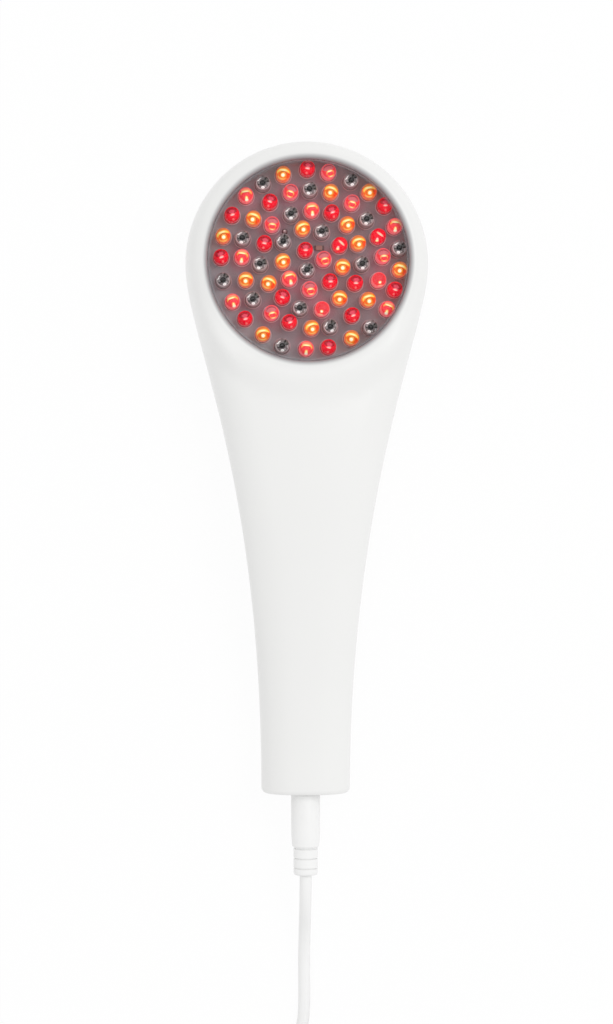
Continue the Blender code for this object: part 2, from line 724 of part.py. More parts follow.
def control_pieces():
    """What stands in a row on the control board, evenly spaced between its two screws, from the head down."""
    top = CONTROL_TOP + GAP
    row = [
        ("control_connector", CONTROL_PLUG_SIZE[1]), ("capacitor", 2 * CAPACITOR_RADIUS),
        ("driver_chip", CHIP_SIZE[1]), ("choke", 2 * INDUCTOR_RADIUS), ("buzzer", 2 * BUZZER_RADIUS),
    ]
    row_top = CONTROL_SCREWS[0][1] - SCREW_HEAD_RADIUS
    row_foot = CONTROL_SCREWS[1][1] + SCREW_HEAD_RADIUS
    spare = (row_top - row_foot - sum(length for _, length in row)) / (len(row) + 1)
    middles, reached = {}, row_top
    for name, length in row:
        middles[name] = reached - spare - length / 2
        reached -= spare + length
    width, length, height = CONTROL_PLUG_SIZE
    box("control_connector", CONTROL_PLUG_SIZE, (0, middles["control_connector"], top + height / 2), CORD)
    box("driver_chip", CHIP_SIZE, (0, middles["driver_chip"], top + CHIP_SIZE[2] / 2), BLACK)
    cylinder("choke", INDUCTOR_RADIUS, INDUCTOR_HEIGHT, (0, middles["choke"], top), BLACK, sides=20)
    cylinder("capacitor", CAPACITOR_RADIUS, CAPACITOR_HEIGHT, (0, middles["capacitor"], top), NICKEL, sides=20)
    buzzer = cylinder("buzzer", BUZZER_RADIUS, BUZZER_HEIGHT, (0, middles["buzzer"], top), BLACK)
    boolean(buzzer, cylinder(
        "buzzer_port", BUZZER_PORT_RADIUS, BUZZER_HEIGHT, (0, middles["buzzer"], top + BUZZER_HEIGHT / 2), sides=12
    ))
    return middles["control_connector"] + length / 2


def screw(name, at, length, up):
    """A pan-head screw whose shank runs up or down from its head's seat."""
    outline = [
        (0, length), (SCREW_POINT_RADIUS, length), (SCREW_RADIUS, length - SCREW_RADIUS), (SCREW_RADIUS, 0),
        (SCREW_HEAD_RADIUS, 0), (SCREW_HEAD_RADIUS, -SCREW_HEAD_SIDE), (SCREW_HEAD_FLAT_RADIUS, -SCREW_HEAD_HEIGHT),
        (0, -SCREW_HEAD_HEIGHT),
    ]
    obj = turned(name, outline, at, STEEL, steps=8)
    if not up:
        obj.rotation_euler = (math.pi, 0, 0)


def screws():
    for number, (x, y) in enumerate(HOUSING_SCREWS, 1):
        screw(f"housing_screw_{number}", (x, y, housing_screw_seat(y) - GAP), HOUSING_SCREW_LENGTH, True)
    for number, (x, y) in enumerate(CONTROL_SCREWS, 1):
        screw(f"control_screw_{number}", (x, y, CONTROL_TOP + GAP), CONTROL_SCREW_LENGTH - GAP, False)


def power_button():
    """The cap that shows on the handle's back, its flange inside, and the switch above it."""
    cap_face = BUTTON_BACK - BUTTON_PROUD
    flange_radius = BUTTON_RADIUS + BUTTON_FLANGE
    turned("power_button", [
        (0, FLANGE_TOP), (flange_radius, FLANGE_TOP), (flange_radius, FLANGE_BOTTOM),
        (BUTTON_RADIUS, FLANGE_BOTTOM),
        (BUTTON_RADIUS, cap_face + BUTTON_PROUD), (BUTTON_RADIUS - BUTTON_PROUD, cap_face), (0, cap_face),
    ], (0, BUTTON_Y, 0), WHITE, steps=24)
    switch = box(
        "tact_switch", (SWITCH_SIZE, SWITCH_SIZE, SWITCH_HEIGHT),
        (0, BUTTON_Y, SWITCH_BOTTOM + SWITCH_HEIGHT / 2), BLACK
    )
    plunger_foot = FLANGE_TOP + GAP
    bore_depth = plunger_foot + PLUNGER_LENGTH + BUTTON_TRAVEL + GAP - SWITCH_BOTTOM
    boolean(switch, cylinder(
        "switch_bore", PLUNGER_RADIUS + GAP, bore_depth + OVERRUN, (0, BUTTON_Y, SWITCH_BOTTOM - OVERRUN), sides=16
    ))
    cylinder("switch_plunger", PLUNGER_RADIUS, PLUNGER_LENGTH, (0, BUTTON_Y, plunger_foot), BLACK, sides=16)


def jack():
    """The socket behind the hole in the handle's end, with its centre pin."""
    middle = JACK_Y + JACK_SIZE[1] / 2
    body = box("dc_jack", JACK_SIZE, (0, middle, JACK_Z), BLACK)
    boolean(body, cylinder(
        "jack_bore", BARREL_RADIUS + GAP, JACK_BORE_DEPTH + OVERRUN, (0, JACK_Y - OVERRUN, JACK_Z), axis="Y"
    ))
    pin_end = JACK_Y + JACK_BORE_DEPTH - GAP
    cylinder("jack_pin", JACK_PIN_RADIUS, JACK_PIN_LENGTH, (0, pin_end - JACK_PIN_LENGTH, JACK_Z), NICKEL, axis="Y",
             sides=12)


def wires(socket_face):
    """Lamp wires from the control board's socket up to the light board's, and the jack's two to the board."""
    start_z = CONTROL_TOP + GAP + CONTROL_PLUG_SIZE[2] / 2
    end_y = BOARD_Y - LED_PLUG_OFFSET - LED_PLUG_SIZE[1] / 2 - GAP
    end_z = BOARD_BOTTOM - GAP - LED_PLUG_SIZE[2] / 2
    jack_end = JACK_Y + JACK_SIZE[1] + GAP
    screw_clear = CONTROL_TOP + GAP + SCREW_HEAD_HEIGHT + 2 * WIRE_RADIUS
    for side, colour, material in ((1, "red", RED_WIRE), (-1, "black", BLACK_WIRE)):
        x = side * WIRE_SPACING / 2
        start_y = socket_face + GAP
        route = [
            (x, start_y, start_z), (x, start_y + WIRE_SPACING, start_z),
            (x, start_y + 4 * WIRE_SPACING, max(start_z, screw_clear)),
            (x, (start_y + end_y) / 2, (start_z + end_z) / 2), (x, end_y - WIRE_SPACING, end_z), (x, end_y, end_z),
        ]
        tube(f"lamp_wire_{colour}", smooth_route(route, 2 * WIRE_SPACING), WIRE_RADIUS, material)
        pad = (x, CONTROL_TAIL_Y + WIRE_SPACING / 2, CONTROL_TOP + GAP + WIRE_RADIUS)
        route = [
            (x, jack_end, JACK_Z), (x, jack_end + WIRE_SPACING, JACK_Z),
            (x, (jack_end + pad[1]) / 2, (JACK_Z + pad[2]) / 2 + WIRE_SPACING / 2),
            (x, pad[1] - WIRE_SPACING / 2, pad[2]), pad,
        ]
        tube(f"jack_wire_{colour}", smooth_route(route, WIRE_SPACING), WIRE_RADIUS, material)


def plug():
    """The lead's plug: metal barrel, its insulating tip, and the moulded grip with its strain-relief rings."""
    def sleeve(low, high):
        return [(BARREL_BORE_RADIUS, high), (BARREL_RADIUS, high), (BARREL_RADIUS, low), (BARREL_BORE_RADIUS, low),
                (BARREL_BORE_RADIUS, high)]

    turned("plug_barrel", sleeve(0, BARREL_LENGTH - BARREL_TIP - GAP), (0, PLUG_Y + GAP, JACK_Z), NICKEL, axis="Y",
           steps=16)
    tip_y = PLUG_Y + GAP + BARREL_LENGTH - BARREL_TIP
    turned("plug_tip", sleeve(0, BARREL_TIP), (0, tip_y, JACK_Z), BLACK, axis="Y", steps=16)
    outline = [(0, 0), (PLUG_RADIUS - PLUG_GROOVE, 0), (PLUG_RADIUS, -PLUG_GROOVE), (PLUG_RADIUS, -PLUG_STRAIGHT)]
    outline.append((PLUG_NECK_RADIUS + PLUG_GROOVE, -PLUG_STRAIGHT - PLUG_TAPER))
    for number in range(PLUG_RINGS):
        groove = -PLUG_STRAIGHT - PLUG_TAPER - PLUG_RING_PITCH * number
        outline += [
            (PLUG_NECK_RADIUS, groove), (PLUG_NECK_RADIUS - PLUG_GROOVE, groove - PLUG_GROOVE / 2),
            (PLUG_NECK_RADIUS, groove - PLUG_GROOVE),
        ]
    outline += [(PLUG_NECK_RADIUS, -PLUG_LENGTH), (0, -PLUG_LENGTH)]
    turned("plug_body", outline, (0, PLUG_Y, JACK_Z), CORD, axis="Y", steps=20)


def coil_route():
    """The centre line of the coil: layers that spiral in and out by turns, climbing where the spiral reverses."""
    layer_points = round(COIL_LAYER_TURNS * COIL_POINTS_A_TURN)
    climb_points = round(COIL_CLIMB_TURNS * COIL_POINTS_A_TURN)
    turn_step = 2 * math.pi / COIL_POINTS_A_TURN
    radius, height, turn = COIL_OUTER_RADIUS, COIL_Z, math.pi
    polar = [(turn, radius, height)]
    for layer in range(COIL_LAYERS):
        inward = -1 if layer % 2 == 0 else 1
        for _ in range(layer_points):
            turn += turn_step
            radius += inward * COIL_PITCH / COIL_POINTS_A_TURN
            polar.append((turn, radius, height))
        if layer == COIL_LAYERS - 1:
            break
        for _ in range(climb_points):
            turn += turn_step
            height += COIL_LAYER_STEP / climb_points
            polar.append((turn, radius, height))
    return [
        Vector((COIL_CENTRE_X + r * math.cos(a), COIL_CENTRE_Y + r * math.sin(a), z)) for a, r, z in polar
    ]


def least_gap(route):
    """The coil's least gap to itself, measured between its points and half a turn or more of cord apart."""
    skip = COIL_POINTS_A_TURN // 2
    nearest = min(
        (route[i] - route[j]).length for i in range(len(route)) for j in range(i + skip, len(route))
    )
    return nearest - 2 * CORD_RADIUS


def length_of(route):
    return sum((end - start).length for start, end in zip(route, route[1:]))


# The lead's own points from the plug to the coil: its share of the way across to the coil's first turn,
# how far it is past the plug's tail, and its height
LEAD_DROP = (
    (0.0, 0.0032, JACK_Z), (0.0, 0.0102, 0.0128), (0.0, 0.0192, 0.0070), (0.0, 0.0282, 0.0029),
    (0.0, 0.0372, CORD_Z), (0.0, 0.0462, CORD_Z), (0.05, 0.0542, CORD_Z), (0.30, 0.0642, CORD_Z),
    (0.69, 0.0732, 0.0024), (0.93, 0.0812, 0.0029),
)
# And from the coil to the adapter: its share of the way across to the boot, how far it is past the coil's
# middle, and its height
TAIL_DROP = ((0.04, 0.008, 0.0160), (0.27, 0.018, 0.0138), (0.67, 0.028, 0.0118))


def lead():
    """The cord from the plug to the coil, the coil, and the cord on from it to the adapter."""
    step = 2.4 * 2 * CORD_RADIUS
    coil = coil_route()
    heading = Vector((0, -1, 0))
    coil_start, coil_end = coil[0], coil[-1]
    lead_route = smooth_route([
        Vector((0, PLUG_TAIL_Y - GAP, JACK_Z)),
        *(Vector((share * coil_start.x, PLUG_TAIL_Y - past, height)) for share, past, height in LEAD_DROP),
        coil_start - heading * (2 * CORD_RADIUS + GAP), coil_start - heading * GAP,
    ], step)
    boot_tip = Vector((ADAPTER_X, ADAPTER_Y + BOOT_LENGTH, BOOT_Z))
    across = boot_tip.x - coil_end.x
    tail_route = smooth_route([
        coil_end + heading * GAP, coil_end + heading * (2 * CORD_RADIUS + GAP),
        *(Vector((coil_end.x + share * across, COIL_CENTRE_Y - past, height)) for share, past, height in TAIL_DROP),
        boot_tip - heading * 2 * CORD_RADIUS, boot_tip - heading * GAP,
    ], step)
    tube("lead_cord", lead_route, CORD_RADIUS, CORD, resolution=2)
    tube("lead_coil", coil, CORD_RADIUS, CORD)
    tube("lead_tail", tail_route, CORD_RADIUS, CORD, resolution=2)
    total = length_of(lead_route) + length_of(coil) + length_of(tail_route)
    print(f"coil's least gap to itself {least_gap(coil) * 1000:.2f} mm, lead {total:.3f} m")


def coil_tie():
    """The flat twist tie round the bundle on the coil's right."""
    inner_low = COIL_Z - CORD_RADIUS - TIE_CLEARANCE
    inner_high = COIL_Z + COIL_LAYER_STEP * (COIL_LAYERS - 1) + CORD_RADIUS + TIE_CLEARANCE
    inner_left = COIL_CENTRE_X + COIL_INNER_RADIUS - CORD_RADIUS - TIE_CLEARANCE - COIL_PITCH / 2
    inner_right = COIL_CENTRE_X + COIL_OUTER_RADIUS + CORD_RADIUS + TIE_CLEARANCE
    size = (inner_right - inner_left, TIE_WIDTH, inner_high - inner_low)
    middle = ((inner_left + inner_right) / 2, COIL_CENTRE_Y, (inner_low + inner_high) / 2)
    tie = box("coil_tie", (size[0] + 2 * TIE_THICKNESS, TIE_WIDTH, size[2] + 2 * TIE_THICKNESS), middle, BLACK)
    boolean(tie, box("tie_inside", (size[0], TIE_WIDTH + 2 * OVERRUN, size[2]), middle))
    twist_at = (inner_right + TIE_THICKNESS, COIL_CENTRE_Y, middle[2])
    boolean(tie, cylinder("tie_twist", TIE_THICKNESS, 3 * TIE_WIDTH, twist_at, axis="X", sides=8), "UNION")


def adapter():
    """The wall adapter lying on its back: case, blade plate, two blades and the boot where the lead goes in."""
    width, length, height = ADAPTER_SIZE
    middle_y = ADAPTER_Y - length / 2
    box("adapter_case", ADAPTER_SIZE, (ADAPTER_X, middle_y, height / 2), WHITE, edge=ADAPTER_EDGE)
    plate_foot = height + GAP
    plate = box(
        "adapter_plate", (width, length, ADAPTER_PLATE),
        (ADAPTER_X, middle_y, plate_foot + ADAPTER_PLATE / 2), WHITE, edge=ADAPTER_EDGE / 4
    )
    for side, name in ((-1, "left"), (1, "right")):
        x = ADAPTER_X + side * BLADE_SPACING / 2
        y = middle_y - length / 2 + BLADE_SETBACK
        foot = plate_foot + GAP
        boolean(plate, box(
            f"blade_slot_{name}", (BLADE_SIZE[0] + 2 * GAP, BLADE_SIZE[1] + 2 * GAP, ADAPTER_PLATE + 2 * OVERRUN),
            (x, y, plate_foot + ADAPTER_PLATE / 2)
        ))
        box(f"adapter_blade_{name}", BLADE_SIZE, (x, y, foot + BLADE_SIZE[2] / 2), NICKEL)
    turned("adapter_boot", [
        (0, BOOT_LENGTH), (BOOT_TIP_RADIUS, BOOT_LENGTH), (BOOT_RADIUS, BOOT_LENGTH / 4), (BOOT_RADIUS, GAP),
        (0, GAP)
    ], (ADAPTER_X, ADAPTER_Y, BOOT_Z), CORD, axis="Y", steps=16)


def build():
    opening = jack_opening()
    front_shell(opening)
    back_shell(opening)
    window_pieces()
    led_board()
    light_board_pieces()
    control_board()
    socket_face = control_pieces()
    screws()
    power_button()
    jack()
    wires(socket_face)
    plug()
    lead()
    coil_tie()
    adapter()


build()
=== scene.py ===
"""The looks of a hand-held light therapy wand, its power lead and its wall adapter, in metres, +Z up."""
import math
import bmesh
import bpy
from bpy.props import FloatProperty, FloatVectorProperty, PointerProperty
from mathutils import Matrix, Vector


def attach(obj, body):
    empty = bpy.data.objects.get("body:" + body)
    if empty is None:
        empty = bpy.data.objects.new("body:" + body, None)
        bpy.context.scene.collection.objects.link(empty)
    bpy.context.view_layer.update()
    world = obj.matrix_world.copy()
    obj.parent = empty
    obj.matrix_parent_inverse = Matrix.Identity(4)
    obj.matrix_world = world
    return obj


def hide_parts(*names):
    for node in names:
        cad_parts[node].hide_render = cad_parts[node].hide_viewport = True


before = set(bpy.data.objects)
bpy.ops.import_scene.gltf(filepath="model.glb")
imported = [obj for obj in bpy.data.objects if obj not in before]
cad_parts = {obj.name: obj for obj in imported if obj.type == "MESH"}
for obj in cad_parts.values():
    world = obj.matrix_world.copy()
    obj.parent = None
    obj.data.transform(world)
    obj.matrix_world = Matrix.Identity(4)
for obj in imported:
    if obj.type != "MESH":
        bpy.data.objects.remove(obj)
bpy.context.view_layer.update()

bl_info = {
    "name": "Light therapy wand",
    "version": (1, 0, 0),
    "blender": (4, 5, 0),
    "location": "View3D > Sidebar > Wand",
    "description": "Builds a light therapy wand, its lamps, its lead and its wall adapter",
    "category": "Object",
}

# Clearances
GAP = 0.0003
OVERRUN = 0.002
NEAR = 1e-6

# Wand body
WAND_LENGTH = 0.218
HEAD_DEPTH = 0.040
END_HALF_WIDTH = 0.01495
END_DEPTH = 0.027
END_FILLET = 0.0018
WALL = 0.0022
ARCH_RISE = 0.007
NECK_ANGLE = math.radians(4.8)
HANDLE_REACH_SHARE = 0.60
NECK_REACH_SHARE = 0.14
FACE_SLOPE_SHARE = 0.78
ARCH_START_SHARE = 0.08
ARCH_END_SHARE = 0.92
SPLIT_SHARE = 0.55
BACK_FLAT_SHARE = 0.30
COLLAR_INSET = 0.0013
COLLAR_BLEND = 0.0070
COLLAR_DIP = 0.0020
HANDLE_CROWN = 0.0030
SIDE_SOFTNESS = 0.9
SIDE_SOFTENING = 0.055
CROWN_SHARE = 0.3
STATION_CROWDING = 1.5
FRONT_ROUNDNESS = 2.4
BACK_ROUNDNESS = 2.3
LIP_HEIGHT = 0.0015
LIP_ROOT = 0.0015
LIP_INSET = 0.0010
SIDE_POINTS = 220
HANDLE_STATIONS = 56
HEAD_STATIONS = 30
FILLET_STATIONS = 6
SKIN_ROWS = 20
CAVITY_ROWS = 8
FACE_ROWS = 6
ROUND_SIDES = 144
FINE_SIDES = 64
SMALL_SIDES = 48
BARREL_SIDES = 40
WELL_SIDES = 32
THIN_SIDES = 24
PILOT_SIDES = 16
EDGE_STEPS = 3
CORNER_STEPS = 7
RIM_STEPS = 4
MERGE_DISTANCE = 0.00001
SHARP_ANGLE = math.radians(40)

# Light window, light board and lamps
WINDOW_RADIUS = 0.0332
HEAD_RADIUS = 0.0405
LENS_RADIUS = 0.0352
LENS_THICKNESS = 0.002
LENS_STEP = 0.0008
LENS_EDGE = 0.0002
SKIRT_WALL = 0.0010
WELL_WALL = 0.0009
LED_TIP_GAP = 0.0005
LED_HEIGHT = 0.0086
LED_FLANGE_HEIGHT = 0.001
LED_RING_PHASES = (121.5, 107.2, 90.2, 90.1, 93.6)
BOARD_THICKNESS = 0.0016
BOARD_RADIUS = 0.0358
BOARD_SHIFT = 0.0009
BOARD_POSTS = 4
BOARD_POST_RADIUS = 0.0022
BOARD_POST_CIRCLE = 0.027
RESISTOR_SIZE = (0.0032, 0.0016, 0.0006)
RESISTOR_AT = (0.0031, 0.0043)
RESISTOR_EDGE = 0.00012
SENSOR_RADIUS = 0.0010
SENSOR_HEIGHT = 0.0012
SENSOR_CIRCLE = 0.01275
SENSOR_ANGLE = math.radians(130.8)
DISC_RINGS = 60
DISC_SIDES = 180
GLOW_REACH = 0.0018
GLOW_SHARE = 0.60
GLOW_LIMIT = 0.8
LAMP_TILT = 0.35
TILT_BY_LAMP = 12.9
TILT_BY_RING = 7.7
LAMP_SIDES = 24
LAMP_ROWS = 14
FLANGE_SIDES = 20
LEG_SIDES = 8
CUP_SIDES = 16
BEAD_SIDES = 32
STRAY_UNIT = 0.0001

# Screws
SCREW_RADIUS = 0.0012
SCREW_HEAD_RADIUS = 0.0023
SCREW_HEAD_HEIGHT = 0.0016
SCREW_SIDES = 32
SHANK_SIDES = 16
# Shares of the head's height and radius, then of the shank's radius and length
HEAD_SIDE_SHARE = 0.62
HEAD_CROWN_SHARE = 0.7
RECESS_LENGTH_SHARE = 2.1
RECESS_WIDTH_SHARE = 0.22
CORE_SHARE = 0.82
POINT_SHARE = 0.5
THREAD_DEPTH_SHARE = 0.17
THREAD_START_SHARE = 0.04
THREAD_SHARE = 0.86
THREAD_TURNS = 9.0
HOUSING_BOSS_RADIUS = 0.0030
HOUSING_WELL_WALL = 0.0010
HOUSING_WELL_CHAMFER = 0.0004
HOUSING_SCREW_LENGTH = 0.0105
HOUSING_SEAT_DEPTH = 0.0045
NECK_SCREW_X = 0.0175
NECK_SCREW_SHARE = 0.727
END_SCREW_X = 0.0068
END_SCREW_SETBACK = 0.0242
CONTROL_SCREW_LENGTH = 0.005
CONTROL_POST_RADIUS = 0.0026
CONTROL_THICKNESS = 0.0016
CONTROL_LIFT = 0.0086
CONTROL_HEAD_REACH = 0.014
CONTROL_TAIL_REACH = 0.0315

# Power button, jack and plug
BUTTON_RADIUS = 0.006
BUTTON_PROUD = 0.0008
BUTTON_FLANGE = 0.0011
BUTTON_FLANGE_HEIGHT = 0.0012
BUTTON_DISH_SHARE = 0.62
BUTTON_DISH = 0.00035
HOLE_CHAMFER = 0.0003
JACK_LENGTH = 0.0145
JACK_HEIGHT = 0.0105
CRADLE_WIDTH = 0.0075
CRADLE_LENGTH = 0.009
BARREL_RADIUS = 0.00275
BARREL_BORE_RADIUS = 0.00135
BARREL_LENGTH = 0.0108
BARREL_TIP = 0.0014
BARREL_RIM = 0.00018
PLUG_GRIP = 0.0049
PLUG_SHOULDER = 0.00455
PLUG_RELIEF = 0.00412
PLUG_LENGTH = 0.0275
PLUG_STRAIGHT = 0.0115
PLUG_TAPER = 0.0062
PLUG_TAPER_STEPS = 8
PLUG_RINGS = 3
PLUG_RING_PITCH = 0.0033
PLUG_GROOVE = 0.0005
PLUG_EDGE = 0.0007
PLUG_BEVEL = 0.0002
# Across a groove of the strain relief: share of its depth, and how far along
PLUG_GROOVE_OUTLINE = (
    (0.0, 0.0), (0.2, 0.00006), (1.0, 0.00016), (1.0, 0.00034), (0.2, 0.00044), (0.0, 0.0005)
)

# Lead, coil and tie
COIL_CENTRE_X = 0.012
COIL_SETBACK = 0.0912
COIL_OUTER_RADIUS = 0.0288
COIL_PITCH = 0.00525
COIL_LAYER_STEP = 0.0046
COIL_LAYERS = 4
COIL_LAYER_TURNS = 2.625
COIL_CLIMB_TURNS = 0.5
COIL_POINTS_A_TURN = 48
TIE_THICKNESS = 0.0006
TIE_WIDTH = 0.003
TIE_CLEARANCE = 0.00035
TIE_TWISTS = 28
STRAND_TURN = 0.0003
STRAND_RADIUS = 0.00028
CORD_RADIUS = 0.00205
CORD_LIFT = 0.0001
TABLE_DROP = 0.0001
TABLE_HALF_WIDTH = 4.0

# Wall adapter
ADAPTER_SIZE = (0.042, 0.058, 0.021)
ADAPTER_X = -0.012
ADAPTER_SETBACK = 0.0625
ADAPTER_CORNER = 0.004
ADAPTER_EDGE = 0.0018
GROOVE_SHARE = 0.62
GROOVE_HEIGHT = 0.00045
GROOVE_DEPTH = 0.00035
GROOVE_CORNER = 0.0037
GROOVE_EDGE = 0.0001
PLATE_THICKNESS = 0.003
PLATE_EDGE = 0.0009
BOOT_LENGTH = 0.0145
BOOT_RADIUS = 0.0042
BOOT_TIP_RADIUS = 0.0031
BOOT_RIBS = 5
BOOT_RIB_PITCH = 0.0018
BOOT_GROOVE = 0.0005
BOOT_EDGE = 0.0001
BLADE_SIZE = (0.0015, 0.00635, 0.0162)
BLADE_SPACING = 0.0127
BLADE_SETBACK = 0.021
BLADE_HOLE_RADIUS = 0.0015
BLADE_HOLE_DROP = 0.0036
BLADE_EDGE = 0.0004

# Stage
KEY_PLACE = (0.62, 0.42, 1.45)
KEY_AIM = (0, 0, 0.02)
KEY_SIZE = 0.9
FILM_HEIGHT = 36.0
AIM_HEIGHT = 0.022

# Worked out from the sizes above
END_Y = -WAND_LENGTH / 2
HEAD_Y = WAND_LENGTH / 2 - HEAD_RADIUS
COLLAR_RADIUS = HEAD_RADIUS - COLLAR_INSET
CAVITY_TOP = HEAD_DEPTH - WALL
LENS_TOP = CAVITY_TOP - GAP
LENS_BOTTOM = LENS_TOP - LENS_THICKNESS
BOARD_TOP = LENS_BOTTOM - LED_TIP_GAP - LED_HEIGHT
BOARD_BOTTOM = BOARD_TOP - BOARD_THICKNESS
BOARD_X = BOARD_SHIFT
BOARD_Y = HEAD_Y + BOARD_SHIFT
PLUG_Y = END_Y - GAP
PLUG_TAIL_Y = PLUG_Y - PLUG_LENGTH
COIL_CENTRE_Y = PLUG_TAIL_Y - COIL_SETBACK
ADAPTER_Y = COIL_CENTRE_Y - ADAPTER_SETBACK
CORD_Z = CORD_RADIUS + CORD_LIFT
COIL_Z = CORD_Z + TIE_THICKNESS + TIE_CLEARANCE
BOOT_Z = ADAPTER_SIZE[2] / 2
LENGTH = {"subtype": "DISTANCE", "unit": "LENGTH"}
TINT = {"size": 3, "subtype": "COLOR", "min": 0.0, "max": 1.0}
WHITE = (1.0, 1.0, 1.0, 1.0)


class HousingSettings(bpy.types.PropertyGroup):
    """Sizes and colour of the two mouldings and the window."""
    bezel_width: FloatProperty(
        name="Bezel width", description="Width over which the front rounds over", default=0.0066, **LENGTH
    )
    window_lip: FloatProperty(
        name="Window lip", description="Radius of the window's rounded lip", default=0.0020, **LENGTH
    )
    seam_edge: FloatProperty(
        name="Seam edge", description="Rounding of the mouldings' edges along their seam", default=0.0003,
        **LENGTH
    )
    white: FloatVectorProperty(
        name="White", description="Colour of the white mouldings", default=(0.86, 0.86, 0.85), **TINT
    )


class LampSettings(bpy.types.PropertyGroup):
    """Sizes and colours of the lamps and their board."""
    radius: FloatProperty(name="Lamp radius", description="Radius of a lamp's body", default=0.0025, **LENGTH)
    flange_radius: FloatProperty(
        name="Flange radius", description="Radius of a lamp's flange", default=0.0029, **LENGTH
    )
    first_ring: FloatProperty(
        name="First ring", description="Radius of the innermost ring of lamps", default=0.00395, **LENGTH
    )
    second_ring: FloatProperty(
        name="Second ring", description="Radius of the second ring of lamps", default=0.0100, **LENGTH
    )
    ring_pitch: FloatProperty(
        name="Ring pitch", description="Distance from the second ring on to each next one", default=0.00655,
        **LENGTH
    )
    deep_red: FloatVectorProperty(
        name="Deep red", description="Colour of the deep red lamps", default=(0.86, 0.0, 0.018), **TINT
    )
    light_red: FloatVectorProperty(
        name="Light red", description="Colour of the light red lamps", default=(0.92, 0.045, 0.06), **TINT
    )
    orange: FloatVectorProperty(
        name="Orange", description="Colour of the orange lamps", default=(0.92, 0.14, 0.006), **TINT
    )
    board: FloatVectorProperty(
        name="Board", description="Colour of the light board", default=(0.275, 0.265, 0.295), **TINT
    )


class LeadSettings(bpy.types.PropertyGroup):
    """Colours of the lead and the adapter."""
    vinyl: FloatVectorProperty(
        name="Vinyl", description="Colour of the lead's white vinyl", default=(0.91, 0.91, 0.905), **TINT
    )
    case: FloatVectorProperty(
        name="Case", description="Colour of the adapter's case", default=(0.85, 0.85, 0.84), **TINT
    )


class StageSettings(bpy.types.PropertyGroup):
    """Light and camera."""
    world_strength: FloatProperty(
        name="World", description="Strength of the even light from all round", default=0.845
    )
    key_power: FloatProperty(
        name="Key light", description="Power of the large soft light at the upper right", default=5.4,
        subtype="POWER", unit="POWER",
    )
    lens: FloatProperty(name="Focal length", description="Camera's focal length in millimetres", default=79.6)
    camera_height: FloatProperty(
        name="Camera height", description="Height of the camera over the table", default=0.780, **LENGTH
    )
    camera_x: FloatProperty(
        name="Camera across the wand", description="Place of the camera across the wand", default=-0.030, **LENGTH
    )
    camera_y: FloatProperty(
        name="Camera along the wand", description="Place of the camera along the wand", default=-0.0142, **LENGTH
    )


# Shader maths

def summing(operation, other_first=False):
    """A method that adds a Math node for this operation."""
    def method(value, other=0.0):
        first, second = (other, value) if other_first else (value, other)
        return value.graph.node("ShaderNodeMath", {"operation": operation}, {0: first, 1: second})
    return method


class Value:
    """A node's output that is worked with as a number: each sum adds its Math node."""

    def __init__(self, graph, socket):
        self.graph = graph
        self.socket = socket

    __add__ = __radd__ = summing("ADD")
    __mul__ = __rmul__ = summing("MULTIPLY")
    __sub__ = summing("SUBTRACT")
    __rsub__ = summing("SUBTRACT", True)
    __truediv__ = summing("DIVIDE")
    __pow__ = summing("POWER")
    __abs__ = summing("ABSOLUTE")
    at_least = summing("MAXIMUM")


class Graph:
    """A node tree that is written a node at a time."""

    def __init__(self, tree):
        self.tree = tree

    def node(self, kind, settings=None, sockets=None, output=0):
        """Adds a node: its settings first, then the values or links of its sockets."""
        node = self.tree.nodes.new(kind)
        for name, value in (settings or {}).items():
            setattr(node, name, value)
        for key, value in (sockets or {}).items():
            for one in value if isinstance(value, list) else [value]:
                self.link(one, node.inputs[key])
        return Value(self, node.outputs[output])

    def link(self, value, socket):
        if isinstance(value, Value):
            self.tree.links.new(value.socket, socket)
        else:
            socket.default_value = value

    def parts(self, vector):
        """The X, Y and Z of a vector."""
        split = self.node("ShaderNodeSeparateXYZ", None, {0: vector}).socket.node
        return [Value(self, output) for output in split.outputs]

    def over_white(self, shader, white, share, end):
        """Sends a shader to the tree's end, and this share of plain white in its place to each ray that sees the
        background as it is: straight from the camera, in a gloss or through glass."""
        camera, gloss, glass = (
            self.node("ShaderNodeLightPath", output=ray)
            for ray in ("Is Camera Ray", "Is Glossy Ray", "Is Transmission Ray")
        )
        seen = camera.at_least(gloss).at_least(glass) * share
        plain = self.node(white, None, {"Color": WHITE})
        self.link(self.node("ShaderNodeMixShader", None, {0: seen, 1: shader, 2: plain}), end.inputs[0])


